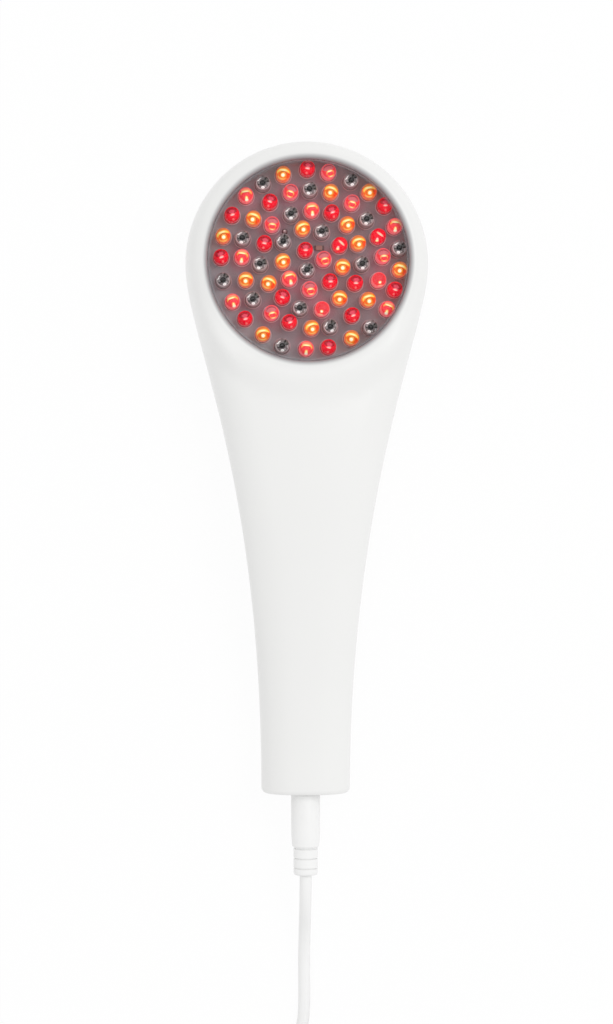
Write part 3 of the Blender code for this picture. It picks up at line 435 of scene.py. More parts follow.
class Finish(Graph):
    """A material and the nodes that feed its Principled BSDF."""

    def __init__(self, name, **fixed):
        self.material = bpy.data.materials.new(name)
        self.material.use_nodes = True
        super().__init__(self.material.node_tree)
        self.shader = self.tree.nodes["Principled BSDF"]
        for socket, value in fixed.items():
            self.shader.inputs[socket.replace("_", " ")].default_value = value

    def feed(self, socket, value):
        self.link(value, self.shader.inputs[socket])

    def mix(self, factor, first, second):
        return self.node(
            "ShaderNodeMix", {"data_type": "RGBA"}, {0: factor, 6: opaque(first), 7: opaque(second)}, 2
        )

    def step(self, value, low, high):
        """0 below `low`, 1 above `high` and smooth between."""
        return self.node(
            "ShaderNodeMapRange", {"interpolation_type": "SMOOTHSTEP"}, {0: value, 1: low, 2: high}
        )

    def noise(self, scale, detail=2.0, vector=None):
        place = vector or self.place()
        return self.node("ShaderNodeTexNoise", None, {"Vector": place, "Scale": scale, "Detail": detail})

    def place(self):
        return self.node("ShaderNodeTexCoord", output=3)

    def reach(self, x_middle, y_middle):
        """Distance from an upright axis."""
        x, y, _ = self.parts(self.place())
        return ((x - x_middle) ** 2 + (y - y_middle) ** 2) ** 0.5

    def attribute(self, name, output=1):
        return self.node("ShaderNodeAttribute", {"attribute_name": name}, output=output)

    def cloud(self, colour, mask, dark, bright):
        """The colour, a little darker or brighter from place to place as the mask says."""
        return self.mix(mask, scaled(colour, dark), scaled(colour, bright))

    def skin(self, grain, roughness, spread, strength, distance):
        """A fine grain in the gloss and in the relief."""
        self.feed("Roughness", roughness + spread * (grain - 0.5))
        self.bump(grain, strength, distance)

    def bump(self, height, strength, distance):
        normal = self.node("ShaderNodeBump", None, {"Strength": strength, "Distance": distance, "Height": height})
        self.feed("Normal", normal)


def opaque(colour):
    """A colour with its alpha, or a link as it is."""
    return colour if isinstance(colour, Value) else (*colour[:3], 1.0)


def scaled(colour, factor):
    return tuple(min(channel * factor, 1.0) for channel in colour)


# Finishes

# Painted shade of the window's lip.
LIP_SHADE_GREY = (0.36, 0.37, 0.385)
# Painted shade on the lens's rim.
LENS_RIM_SHADE = (0.30, 0.29, 0.31)
# Painted grey of the board towards the window's rim, for the rim's shade.
BOARD_RIM_SHADE = (0.42, 0.45, 0.48)
BLACK = (0.022, 0.022, 0.024)
NICKEL = ((0.72, 0.70, 0.66), 0.24)


def moulded_plastic(name, colour, roughness=0.30, lip=0.0):
    """Moulded plastic: an even colour with a faint flow mottle, and the mould's fine grain in its gloss. Given a
    lip width, painted shade darkens it towards the window's edge: a soft darker tail, then a grey on the lip."""
    finish = Finish(name, IOR=1.49)
    shade = finish.cloud(colour, finish.noise(30.0, 3.0), 0.985, 1.01)
    if lip:
        reach = finish.reach(0.0, HEAD_Y)
        # Painted shade towards the window's edge: a soft darker tail over the bezel, then a painted grey on the
        # lip.
        for width, tone in ((2.2 * lip, scaled(colour, 0.92)), (lip, LIP_SHADE_GREY)):
            shade = finish.mix(finish.step(reach, WINDOW_RADIUS, WINDOW_RADIUS + width), tone, shade)
    finish.feed("Base Color", shade)
    finish.skin(finish.noise(2400.0), roughness, 0.10, 0.05, 0.00002)
    return finish.material


def soft_vinyl(name, colour, roughness=0.42):
    """Soft cable vinyl: faint clouding, a fine skin and a little gloss."""
    finish = Finish(name, IOR=1.48, Sheen_Weight=0.05)
    finish.feed("Base Color", finish.cloud(colour, finish.noise(120.0, 3.0), 0.97, 1.01))
    finish.skin(finish.noise(3200.0), roughness, 0.14, 0.12, 0.00003)
    return finish.material


def clear_acrylic(name):
    """Polished clear acrylic with faint wipe marks in its gloss, and a painted grey veil of shade towards the
    window's rim. A Fresnel share of its alpha strengthens its reflections at grazing angles.
    """
    finish = Finish(name, IOR=1.49)
    wipe = finish.noise(220.0, 4.0)
    # Painted shade: a grey veil that grows more opaque towards the window's rim.
    rim = finish.step(finish.reach(0.0, HEAD_Y), WINDOW_RADIUS - 0.0012, WINDOW_RADIUS)
    tone = finish.mix(wipe, (0.30, 0.31, 0.32), (0.36, 0.37, 0.38))
    finish.feed("Base Color", finish.mix(rim, tone, LENS_RIM_SHADE))
    gloss = finish.node("ShaderNodeFresnel", None, {"IOR": 1.49})
    finish.feed("Alpha", 0.02 + 0.40 * rim + 0.12 * gloss)
    finish.feed("Roughness", 0.02 + 0.05 * wipe)
    return finish.material


def solder_mask(name, colour, rim_shade=None, glow=None):
    """A circuit board's matt lacquer with fine mottle, and tracks that show faintly through it. It can be painted
    with a pink glow of the lamps' light, and painted grey towards the window's rim for the rim's shade.
    """
    finish = Finish(name, IOR=1.5)
    mottle = finish.noise(500.0, 3.0)
    tracks = finish.node(
        "ShaderNodeTexWave", {"wave_type": "BANDS", "bands_direction": "DIAGONAL", "wave_profile": "SIN"},
        {"Vector": finish.place(), "Scale": 90.0, "Distortion": 9.0, "Detail": 1.0, "Detail Scale": 3.0}, 1
    )
    line = finish.step(tracks, 0.90, 0.96)
    shade = finish.mix(line * 0.35, finish.cloud(colour, mottle, 0.94, 1.05), scaled(colour, 1.10))
    if glow:
        # Painted light: the lamps' pink glow on the board.
        shade = finish.mix(finish.attribute(glow, 2), shade, LAMP_GLOW)
    if rim_shade:
        # Painted shade: greyer towards the window's rim.
        rim = finish.step(finish.reach(BOARD_X, BOARD_Y), WINDOW_RADIUS * 0.76, WINDOW_RADIUS * 0.97)
        shade = finish.mix(rim, shade, rim_shade)
    finish.feed("Base Color", shade)
    finish.feed("Roughness", 0.40 + 0.15 * mottle)
    finish.bump(line + 0.2 * mottle, 0.3, 0.00003)
    return finish.material


def bright_metal(name, colour, roughness, brushed=900.0):
    """Plated metal with fine drawing lines in its gloss."""
    finish = Finish(name, Metallic=1.0)
    place = finish.node("ShaderNodeMapping", None, {"Vector": finish.place(), "Scale": (1.0, 0.06, 1.0)})
    lines = finish.noise(brushed, 4.0, place)
    finish.feed("Base Color", finish.cloud(colour, lines, 0.92, 1.06))
    finish.skin(lines, roughness, 0.12, 0.08, 0.00001)
    return finish.material


def grained_plastic(name, colour, roughness=0.5, grain_size=1800.0):
    """Moulded engineering plastic with a matt, slightly uneven skin."""
    finish = Finish(name, IOR=1.5)
    grain = finish.noise(grain_size, 3.0)
    finish.feed("Base Color", finish.cloud(colour, grain, 0.85, 1.15))
    finish.skin(grain, roughness, 0.2, 0.2, 0.00004)
    return finish.material


def chip_ceramic(name, colour, centre, half_length):
    """A brown ceramic chip part whose two soldered ends are dark."""
    finish = Finish(name, IOR=1.5)
    x, _, _ = finish.parts(finish.place())
    grain = finish.noise(2600.0, 3.0)
    end = finish.step(abs(x - centre) / half_length, 0.56, 0.66)
    finish.feed("Base Color", finish.mix(end, finish.cloud(colour, grain, 0.85, 1.15), (0.10, 0.062, 0.052)))
    finish.feed("Roughness", 0.55 - 0.2 * end)
    finish.bump(grain, 0.2, 0.00002)
    return finish.material


def bead_glass(name, centre, radius):
    """A clear bead: painted shade at its round edge, a paler heart and a small painted glint."""
    finish = Finish(name, IOR=1.5, Roughness=0.08)
    reach = finish.reach(centre.x, centre.y) / radius
    # Painted highlight: a small glint. Painted shade: darker towards the bead's edge.
    glint = finish.reach(centre.x - 0.15 * radius, centre.y + 0.25 * radius) / radius
    shade = finish.mix(finish.step(reach, 0.35, 0.80), (0.36, 0.29, 0.30), (0.10, 0.070, 0.075))
    finish.feed("Base Color", finish.mix(1 - finish.step(glint, 0.20, 0.34), shade, (1.0, 0.98, 0.98)))
    return finish.material


def wound_copper(name):
    """Lacquered copper wire wound round a black ferrite drum, painted darker in the grooves between its turns."""
    finish = Finish(name)
    _, _, height = finish.parts(finish.place())
    turn = finish.node("ShaderNodeMath", {"operation": "PINGPONG"}, {0: height, 1: 0.00022}) / 0.00022
    # Painted shade: darker in the grooves between turns, with the same wave as the bump.
    finish.feed("Base Color", finish.mix(turn, (0.012, 0.010, 0.010), (0.035, 0.030, 0.028)))
    finish.feed("Roughness", 0.35 + 0.25 * turn)
    finish.bump(turn, 0.5, 0.0001)
    return finish.material


# Lamps: body, rim and foot colours, then painted marks of their lit inside: painted highlights, glints and
# reflections, painted shade, and the dark die. A mark is its colour, an ellipse (centre, half sizes, in lamp
# radii, and its lean) and, for a crescent, the ellipse that is cut out of it.
# Painted light: the colour of the lamps' glow on the board.
LAMP_GLOW = (0.42, 0.20, 0.26)
FOOT_PINK = (0.30, 0.16, 0.18)
FOOT_CLEAR = (0.28, 0.25, 0.26)
FLANGE_EDGE_HIGHLIGHT = (0.92, 0.74, 0.79)
# Colours of the lamps' painted highlights and reflections.
PALE_YELLOW = (1.0, 0.83, 0.42)
AMBER = (1.0, 0.42, 0.08)
CREAM = (1.0, 0.93, 0.70)
PINK_WHITE = (1.0, 0.55, 0.50)


def lamp_marks(lamps):
    """What each kind of lamp looks like, by its letter in the ring lists, with the painted highlights, reflections
    and shade of its lit inside.
    """
    deep, light, orange = lamps.deep_red, lamps.light_red, lamps.orange
    return {
        "D": ("deep_red", deep, scaled(deep, 0.80), FOOT_PINK, [
            ((0.40, 0.0, 0.012), (0.0, 0.34, 0.74, 0.42)),
            ((0.66, 0.05, 0.09), (0.0, 0.24, 0.38, 0.24)),
            ((1.0, 0.24, 0.24), (0.02, -0.06, 0.24, 0.05)),
            (PINK_WHITE, (0.0, -0.22, 0.28, 0.09)),
            ((1.0, 0.16, 0.16), (0.0, -0.78, 0.14, 0.14)),
        ]),
        "B": ("bright_red", deep, scaled(deep, 0.95), FOOT_PINK, [
            ((1.0, 0.48, 0.34), (0.12, 0.12, 0.50, 0.14, -0.55)),
            (PINK_WHITE, (-0.20, -0.62, 0.16, 0.24)),
            (PALE_YELLOW, (-0.22, -0.74, 0.20, 0.12)),
        ]),
        "P": ("light_red", light, (1.0, 0.20, 0.24), FOOT_PINK, [
            ((0.60, 0.13, 0.15), (0.0, 0.36, 0.76, 0.44)),
            ((0.30, 0.03, 0.05), (0.0, 0.26, 0.64, 0.46), (-0.02, 0.13, 0.66, 0.46)),
            (AMBER, (0.04, -0.34, 0.50, 0.36), (0.04, -0.46, 0.44, 0.30)),
            (PALE_YELLOW, (0.02, -0.16, 0.32, 0.09)),
            (AMBER, (0.06, -0.66, 0.40, 0.20), (0.06, -0.58, 0.36, 0.14)),
            (PALE_YELLOW, (0.06, -0.81, 0.24, 0.06)),
        ]),
        "T": ("tower_red", light, (1.0, 0.20, 0.22), FOOT_PINK, [
            ((1.0, 0.26, 0.18), (0.0, 0.50, 0.62, 0.30)),
            (AMBER, (0.04, 0.10, 0.74, 0.44), (0.0, -0.14, 0.66, 0.42)),
            (PALE_YELLOW, (-0.06, 0.32, 0.46, 0.11)),
            ((0.50, 0.04, 0.03), (0.0, 0.04, 0.46, 0.18), (0.0, -0.05, 0.48, 0.18)),
            (AMBER, (0.0, -0.62, 0.22, 0.36)),
            (PALE_YELLOW, (0.0, -0.66, 0.15, 0.30)),
            (CREAM, (0.0, -0.78, 0.22, 0.14)),
        ]),
        "S": ("spot_red", light, (1.0, 0.24, 0.26), FOOT_PINK, [
            (scaled(light, 0.80), (0.0, 0.06, 0.66, 0.62)),
            (AMBER, (0.0, -0.46, 0.22, 0.20)),
            (CREAM, (0.0, -0.47, 0.15, 0.13)),
            ((1.0, 0.52, 0.30), (0.0, -0.86, 0.36, 0.08)),
        ]),
        "O": ("orange", orange, (0.86, 0.20, 0.06), FOOT_CLEAR, [
            ((0.66, 0.20, 0.05), (0.0, 0.56, 0.76, 0.38)),
            ((1.0, 0.34, 0.02), (0.0, 0.08, 0.88, 0.52), (0.04, -0.20, 0.78, 0.38)),
            ((1.0, 0.66, 0.12), (-0.04, 0.05, 0.80, 0.46), (0.02, -0.17, 0.76, 0.38)),
            (PALE_YELLOW, (-0.08, 0.34, 0.46, 0.11)),
            ((0.86, 0.06, 0.004), (0.62, -0.28, 0.26, 0.32)),
            ((0.30, 0.08, 0.004), (0.0, -0.24, 0.46, 0.42)),
            ((0.95, 0.22, 0.015), (0.0, -0.31, 0.41, 0.40)),
            ((1.0, 0.62, 0.14), (-0.12, -0.44, 0.58, 0.48), (-0.02, -0.30, 0.66, 0.46)),
            ((1.0, 0.60, 0.15), (-0.04, -0.34, 0.28, 0.28)),
            (CREAM, (-0.04, -0.34, 0.20, 0.20)),
        ]),
        "C": ("clear", (0.24, 0.205, 0.21), (0.46, 0.39, 0.40), FOOT_CLEAR, [
            ((0.185, 0.16, 0.163), (0.0, -0.08, 0.80, 0.78)),
            ((0.80, 0.76, 0.77), (-0.08, -0.10, 0.84, 0.84), (0.02, 0.0, 0.86, 0.86)),
            ((0.46, 0.42, 0.43), (0.08, -0.08, 0.84, 0.84), (-0.02, 0.0, 0.86, 0.86)),
            ((0.60, 0.56, 0.565), (0.30, -0.52, 0.12, 0.05, -0.5)),
            ((0.46, 0.42, 0.425), (0.66, -0.20, 0.07, 0.20)),
            ((0.10, 0.095, 0.09), (0.44, 0.32, 0.34, 0.34)),
            ((0.026, 0.023, 0.023), (0.36, 0.52, 0.11, 0.30, -0.5)),
            ((0.026, 0.023, 0.023), (0.62, 0.10, 0.26, 0.10, 0.35)),
            ((0.04, 0.035, 0.035), (-0.02, 0.86, 0.18, 0.10)),
            ((0.30, 0.27, 0.275), (-0.52, 0.02, 0.22, 0.30)),
            ((0.05, 0.045, 0.045), (-0.54, -0.30, 0.20, 0.08, -0.3)),
            ((1.0, 0.98, 0.98), (-0.60, 0.26, 0.20, 0.08, 0.5)),
            ((0.95, 0.93, 0.93), (-0.38, 0.48, 0.17, 0.06, 0.4)),
            ((0.010, 0.008, 0.008), (-0.06, -0.10, 0.40, 0.36)),
            ((0.05, 0.045, 0.045), (-0.10, -0.04, 0.20, 0.10)),
            ((1.0, 1.0, 1.0), (-0.04, -0.68, 0.25, 0.16)),
        ]),
    }


def lamp_epoxy(name, radius, body, rim, foot, marks):
    """A lamp's moulded epoxy: the marks paint its lit inside, with painted highlights, reflections and shade,
    placed about the lamp's own axis. The dome is painted darker towards its edge, with painted rim light and
    shade, and a painted highlight on the flange's edge.
    """
    clear = name == "clear"
    finish = Finish(
        f"{name}_epoxy", Roughness=0.16, IOR=1.5, Specular_IOR_Level=0.14 if clear else 0.22,
        Emission_Strength=0.20 if clear else 0.34
    )
    x, y, z = finish.parts(finish.attribute("lamp_place"))
    x, y = x / radius, y / radius
    reach = (x * x + y * y) ** 0.5

    def ellipse(centre_x, centre_y, half_x, half_y, lean=0.0):
        across, along = x - centre_x, y - centre_y
        if lean:
            sine, cosine = math.sin(lean), math.cos(lean)
            across, along = across * cosine + along * sine, along * cosine - across * sine
        across, along = across / half_x, along / half_y
        softness = 0.035 / min(half_x, half_y)
        return 1 - finish.step((across * across + along * along) ** 0.5, 1 - softness, 1 + softness)

    # Painted shade: the dome darker towards its edge.
    colour = finish.mix(finish.step(reach, 0.30, 1.0), body, scaled(body, 0.90))
    for shade, outline, *cuts in marks:
        mask = ellipse(*outline)
        for cut in cuts:
            mask = mask * (1 - ellipse(*cut))
        colour = finish.mix(mask, colour, shade)
    # Painted rim light and shade at the dome's edge: lighter on some kinds, darker on others.
    colour = finish.mix(finish.step(reach, 0.80, 0.97) * 0.75, colour, rim)
    # Flange: its own colour, with a painted highlight along its outer edge.
    below = 1 - finish.step(z, LED_FLANGE_HEIGHT * 0.9, LED_FLANGE_HEIGHT * 1.6)
    colour = finish.mix(below, colour, finish.mix(finish.step(reach, 1.07, 1.11), foot, FLANGE_EDGE_HIGHLIGHT))
    finish.feed("Base Color", colour)
    finish.feed("Emission Color", finish.mix(below, colour, (0.02, 0.01, 0.01)))
    if clear:
        finish.feed("Alpha", 1 - 0.52 * finish.step(reach, 0.86, 0.99) * (1 - 0.5 * below))
    return finish.material


def white_table(name):
    """A white table top that keeps the object's faint shadow."""
    finish = Finish(name, Base_Color=(0.93, 0.93, 0.93, 1.0), Roughness=0.9)
    lit = Value(finish, finish.shader.outputs[0])
    finish.over_white(lit, "ShaderNodeEmission", 0.94, finish.tree.nodes["Material Output"])
    return finish.material


def stock(name, make, *details):
    """A finish by name, made on its first use."""
    return bpy.data.materials.get(name) or make(name, *details)


# Shape of the body

def ease(share):
    """A smooth step from 0 to 1 with level ends."""
    share = min(max(share, 0.0), 1.0)
    return share * share * (3 - 2 * share)


def face_height(y):
    """Height of the front at y: level over the head, easing down to the handle's end."""
    return END_DEPTH + (HEAD_DEPTH - END_DEPTH) * ease((y - END_Y) / (FACE_SLOPE_SHARE * (HEAD_Y - END_Y)))


def arch_place(share):
    return END_Y + share * (HEAD_Y - END_Y)


def back_height(y):
    """Height of the back at y: an arch between the two places where the wand rests."""
    start, end = arch_place(ARCH_START_SHARE), arch_place(ARCH_END_SHARE)
    share = min(max((y - start) / (end - start), 0.0), 1.0)
    return ARCH_RISE * math.sin(math.pi * share) ** 2


def parting_height(y):
    return back_height(y) + SPLIT_SHARE * (face_height(y) - back_height(y))


JACK_Z = parting_height(END_Y)
JACK_Y = END_Y + WALL + GAP
BUTTON_Y = arch_place((ARCH_START_SHARE + ARCH_END_SHARE) / 2)
BUTTON_BACK = back_height(BUTTON_Y)
CONTROL_BOTTOM = BUTTON_BACK + CONTROL_LIFT
CONTROL_SCREWS = (BUTTON_Y + CONTROL_HEAD_REACH, JACK_Y + CONTROL_TAIL_REACH)
HOUSING_SCREWS = [
    (side * x, y)
    for x, y in ((NECK_SCREW_X, arch_place(NECK_SCREW_SHARE)), (END_SCREW_X, END_Y + END_SCREW_SETBACK))
    for side in (1, -1)
]


def screw_seat(y):
    """Height of the step that a housing screw's head pulls against."""
    return parting_height(y) - HOUSING_SEAT_DEPTH


def side_curve(pieces):
    """The side of the handle: one curve from the end's straight flank to the head's circle."""
    tangent = Vector((-math.sin(NECK_ANGLE), -math.cos(NECK_ANGLE)))
    join = Vector((HEAD_RADIUS * math.cos(NECK_ANGLE), HEAD_Y - HEAD_RADIUS * math.sin(NECK_ANGLE)))
    start = Vector((END_HALF_WIDTH, END_Y))
    reach = join.y - END_Y
    first = start + Vector((0, HANDLE_REACH_SHARE * reach))
    second = join + tangent * NECK_REACH_SHARE * reach
    points = []
    for step in range(pieces + 1):
        t = step / pieces
        points.append(
            start * (1 - t) ** 3 + first * 3 * t * (1 - t) ** 2 + second * 3 * t**2 * (1 - t) + join * t**3
        )
    return points


SIDE = [tuple(point) for point in side_curve(SIDE_POINTS)]


def plan_width(y):
    """Half width of the body's plan outline, read off its side curve."""
    for (x_low, y_low), (x_high, y_high) in zip(SIDE, SIDE[1:]):
        if y_low <= y <= y_high:
            return x_low + (x_high - x_low) * (y - y_low) / (y_high - y_low)
    if y > SIDE[-1][1]:
        return math.sqrt(max(HEAD_RADIUS**2 - (y - HEAD_Y) ** 2, 0.0))
    return SIDE[0][0]


def quarter(steps):
    """The angles of a quarter turn."""
    return [math.pi / 2 * step / steps for step in range(steps + 1)]


def around(sides):
    """The angles of a whole turn."""
    return [2 * math.pi * step / sides for step in range(sides)]


def stations(inset):
    """Sections of the body from the handle's end to the top of the head: foot on the centre line, direction out
    from there, half width, outer half width, and how far the end's fillet draws it in."""
    found = []
    for turn in quarter(FILLET_STATIONS)[:-1]:
        drawn_in = END_FILLET * (1 - math.sin(turn))
        y = END_Y + inset + END_FILLET * (1 - math.cos(turn))
        width = plan_width(y)
        found.append((y, 0.0, width - inset - drawn_in, width, drawn_in))
    first = END_Y + inset + END_FILLET
    for step in range(HANDLE_STATIONS):
        y = first + (HEAD_Y - first) * (1 - (1 - step / HANDLE_STATIONS) ** STATION_CROWDING)
        width = plan_width(y)
        found.append((y, 0.0, width - inset, width, 0.0))
    return found + [(HEAD_Y, turn, HEAD_RADIUS - inset, HEAD_RADIUS, 0.0) for turn in quarter(HEAD_STATIONS)]


def section_point(station, side, reach, height):
    y, turn = station[0], station[1]
    return (side * reach * math.cos(turn), y + reach * math.sin(turn), height)


def loft(columns):
    """A closed solid from the sections: `columns` holds, for each, its points on the right and on the left."""
    shape = bmesh.new()
    rows = len(columns[0][0])
    rings = []
    for number, (right, left) in enumerate(columns):
        right_verts = [shape.verts.new(point) for point in right]
        shared = number == len(columns) - 1
        rings.append((right_verts, right_verts if shared else [shape.verts.new(point) for point in left]))
    for (right, left), (next_right, next_left) in zip(rings, rings[1:]):
        for row in range(rows - 1):
            shape.faces.new((right[row], next_right[row], next_right[row + 1], right[row + 1]))
            shape.faces.new((left[row + 1], next_left[row + 1], next_left[row], left[row]))
        for row in (0, rows - 1):
            shape.faces.new(list(dict.fromkeys((left[row], right[row], next_right[row], next_left[row]))))
    right, left = rings[0]
    shape.faces.new(right + left[::-1])
    bmesh.ops.triangulate(shape, faces=shape.faces)
    bmesh.ops.recalc_face_normals(shape, faces=shape.faces)
    return shape


def face_sink(x, y):
    """How far the handle's front lies below the collar: it dips beside the collar and is crowned across."""
    away = ease((math.hypot(x, y - HEAD_Y) - COLLAR_RADIUS) / COLLAR_BLEND)
    return away * (COLLAR_DIP + HANDLE_CROWN * (x / plan_width(min(y, HEAD_Y))) ** 2)


def front_flat(y, outer, bezel_width):
    """How far out the front's top reaches at y before it rounds over, less on the handle than on the head."""
    softness = 1 + SIDE_SOFTNESS * ease((HEAD_Y - y) / SIDE_SOFTENING)
    return max(outer - bezel_width * softness, outer * CROWN_SHARE)


def half_body(upper, settings, inset=0.0, skirt=0.0):
    """The front or back half of the body, drawn in by `inset`, reaching `skirt` past the parting surface. The
    outer skin has its edge along the seam rounded over."""
    sign, roundness, skin = (1, FRONT_ROUNDNESS, face_height) if upper else (-1, BACK_ROUNDNESS, back_height)
    rows = CAVITY_ROWS if inset else SKIN_ROWS
    edge = 0.0 if inset else settings.seam_edge

    def column(station, side):
        y, _, width, outer, drawn_in = station
        flat = front_flat(y, outer, settings.bezel_width) if upper else outer * BACK_FLAT_SHARE
        base = parting_height(y) + sign * GAP / 2
        height = skin(y) - sign * (inset + drawn_in) - base
        profile = [(width, base - sign * skirt)] if skirt else []
        for turn in quarter(2) if edge else ():
            profile.append((width - edge * (1 - math.sin(turn)), base + sign * edge * (1 - math.cos(turn))))
        for angle in quarter(rows)[1 if edge else 0:]:
            out = max(math.cos(angle), 0.0) ** (2 / roundness)
            profile.append((flat + (width - flat) * out, base + height * math.sin(angle) ** (2 / roundness)))
        for step in range(1, FACE_ROWS if upper else 1):
            profile.append((flat * (1 - step / FACE_ROWS), base + height))
        points = [section_point(station, side, reach, level) for reach, level in profile]
        if not upper:
            return points
        return [(x, along, z - face_sink(x, along) * max(z - base, 0.0) / height) for x, along, z in points]

    return loft([(column(station, 1), column(station, -1)) for station in stations(inset)])


def seam_block(inset, low, high):
    """A block that follows the parting surface, from `low` to `high` above it."""
    columns = []
    for station in stations(inset):
        base = parting_height(station[0])
        columns.append(tuple(
            [section_point(station, side, station[2], base + level) for level in (low, high)] for side in (1, -1)
        ))
    return loft(columns)


# Plain shapes

AXES = {
    "X": Matrix.Rotation(math.pi / 2, 4, "Y"),
    "Y": Matrix.Rotation(-math.pi / 2, 4, "X"),
    "Z": Matrix.Identity(4),
}


def join_rings(shape, rings):
    """Faces from each ring of points to the next. A ring of one point is a pole."""
    sides = max(len(ring) for ring in rings)
    for low, high in zip(rings, rings[1:]):
        for step in range(sides):
            beyond = (step + 1) % sides
            corners = dict.fromkeys((
                low[step % len(low)], low[beyond % len(low)], high[beyond % len(high)], high[step % len(high)]
            ))
            if len(corners) > 2:
                shape.faces.new(list(corners))


def turned(outline, at, axis="Z", sides=SMALL_SIDES):
    """A profile of (radius, height) pairs turned about its axis. One that ends where it starts is a ring."""
    ring_shaped = outline[0] == outline[-1]
    shape = bmesh.new()
    rings = []
    for radius, height in outline[:-1] if ring_shaped else outline:
        turns = around(sides if radius else 1)
        rings.append([shape.verts.new((radius * math.cos(a), radius * math.sin(a), height)) for a in turns])
    join_rings(shape, rings + rings[:1] if ring_shaped else rings)
    bmesh.ops.transform(shape, matrix=Matrix.Translation(at) @ AXES[axis], verts=shape.verts)
    bmesh.ops.recalc_face_normals(shape, faces=shape.faces)
    return shape


def rod(radius, length, at, axis="Z", sides=SMALL_SIDES):
    """A round bar from `at` along its axis."""
    return turned([(0, 0), (radius, 0), (radius, length), (0, length)], at, axis, sides)


def bevelled(shape, edges, width, segments):
    """Rounds these edges of the shape."""
    bmesh.ops.bevel(
        shape, geom=edges, offset=width, offset_type="OFFSET", segments=segments, profile=0.5, affect="EDGES"
    )


def block(size, at, edge=0.0):
    """A box about `at` with its edges rounded."""
    shape = bmesh.new()
    bmesh.ops.create_cube(shape, size=1.0, matrix=Matrix.Translation(at) @ Matrix.Diagonal((*size, 1.0)))
    if edge:
        bevelled(shape, shape.edges[:], edge, EDGE_STEPS)
    return shape


def slab(size, at, corner, edge, along=2, rims=(-1, 1)):
    """A box about `at` with its four corners about one axis rounded, and the rims of its end faces softened."""
    shape = block(size, at)
    rising = [line for line in shape.edges if abs((line.verts[0].co - line.verts[1].co)[along]) > size[along] / 2]
    bevelled(shape, rising, corner, CORNER_STEPS)
    for side in rims:
        level = at[along] + side * size[along] / 2
        rim = [line for line in shape.edges if all(abs(vert.co[along] - level) < NEAR for vert in line.verts)]
        bevelled(shape, rim, edge, RIM_STEPS)
    return shape


def mesh_of(shape, name):
    """The shape as a mesh. The shape itself is let go."""
    mesh = bpy.data.meshes.new(name)
    shape.to_mesh(mesh)
    shape.free()
    return mesh


def placed(name, data):
    """An object in the scene with this data."""
    obj = bpy.data.objects.new(name, data)
    bpy.context.scene.collection.objects.link(obj)
    return obj


def together(*shapes):
    """Several separate shapes as one."""
    whole = bmesh.new()
    for shape in shapes:
        mesh = mesh_of(shape, "part")
        whole.from_mesh(mesh)
        bpy.data.meshes.remove(mesh)
    return whole


def evaluated_mesh(obj):
    """The plain mesh that an object's modifiers make. The object itself is let go."""
    mesh = bpy.data.meshes.new_from_object(obj.evaluated_get(bpy.context.evaluated_depsgraph_get()))
    bpy.data.objects.remove(obj)
    return mesh


def carved(base, *steps):
    """A shape after its boolean steps, each an operation and the shape that it takes."""
    body = placed("helper", mesh_of(base, "helper"))
    others = [placed("helper", mesh_of(shape, "helper")) for _, shape in steps]
    for (operation, _), other in zip(steps, others):
        modifier = body.modifiers.new("step", "BOOLEAN")
        modifier.operation = operation
        modifier.solver = "EXACT"
        modifier.object = other
    mesh = evaluated_mesh(body)
    for other in others:
        bpy.data.objects.remove(other)
    result = bmesh.new()
    result.from_mesh(mesh)
    bpy.data.meshes.remove(mesh)
    return result


def cut(base, *shapes):
    """A shape with others taken out of it."""
    return carved(base, *(("DIFFERENCE", shape) for shape in shapes))


def piece(name, shape, material, body, stands_for, smooth=32):
    """A finished piece from its shape, smooth but for its sharp edges, that rides on a body."""
    mesh = mesh_of(shape, name) if isinstance(shape, bmesh.types.BMesh) else shape
    mesh.name = name
    if smooth:
        mesh.shade_smooth()
        mesh.set_sharp_from_angle(angle=math.radians(smooth))
    mesh.materials.clear()
    mesh.materials.append(material)
    obj = placed(name, mesh)
    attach(obj, body)
    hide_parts(*stands_for)
    return obj


def refinish(material, *names):
    """Gives carried-over solids their material."""
    for name in names:
        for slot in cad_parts[name].material_slots:
            slot.material = material


# Mouldings

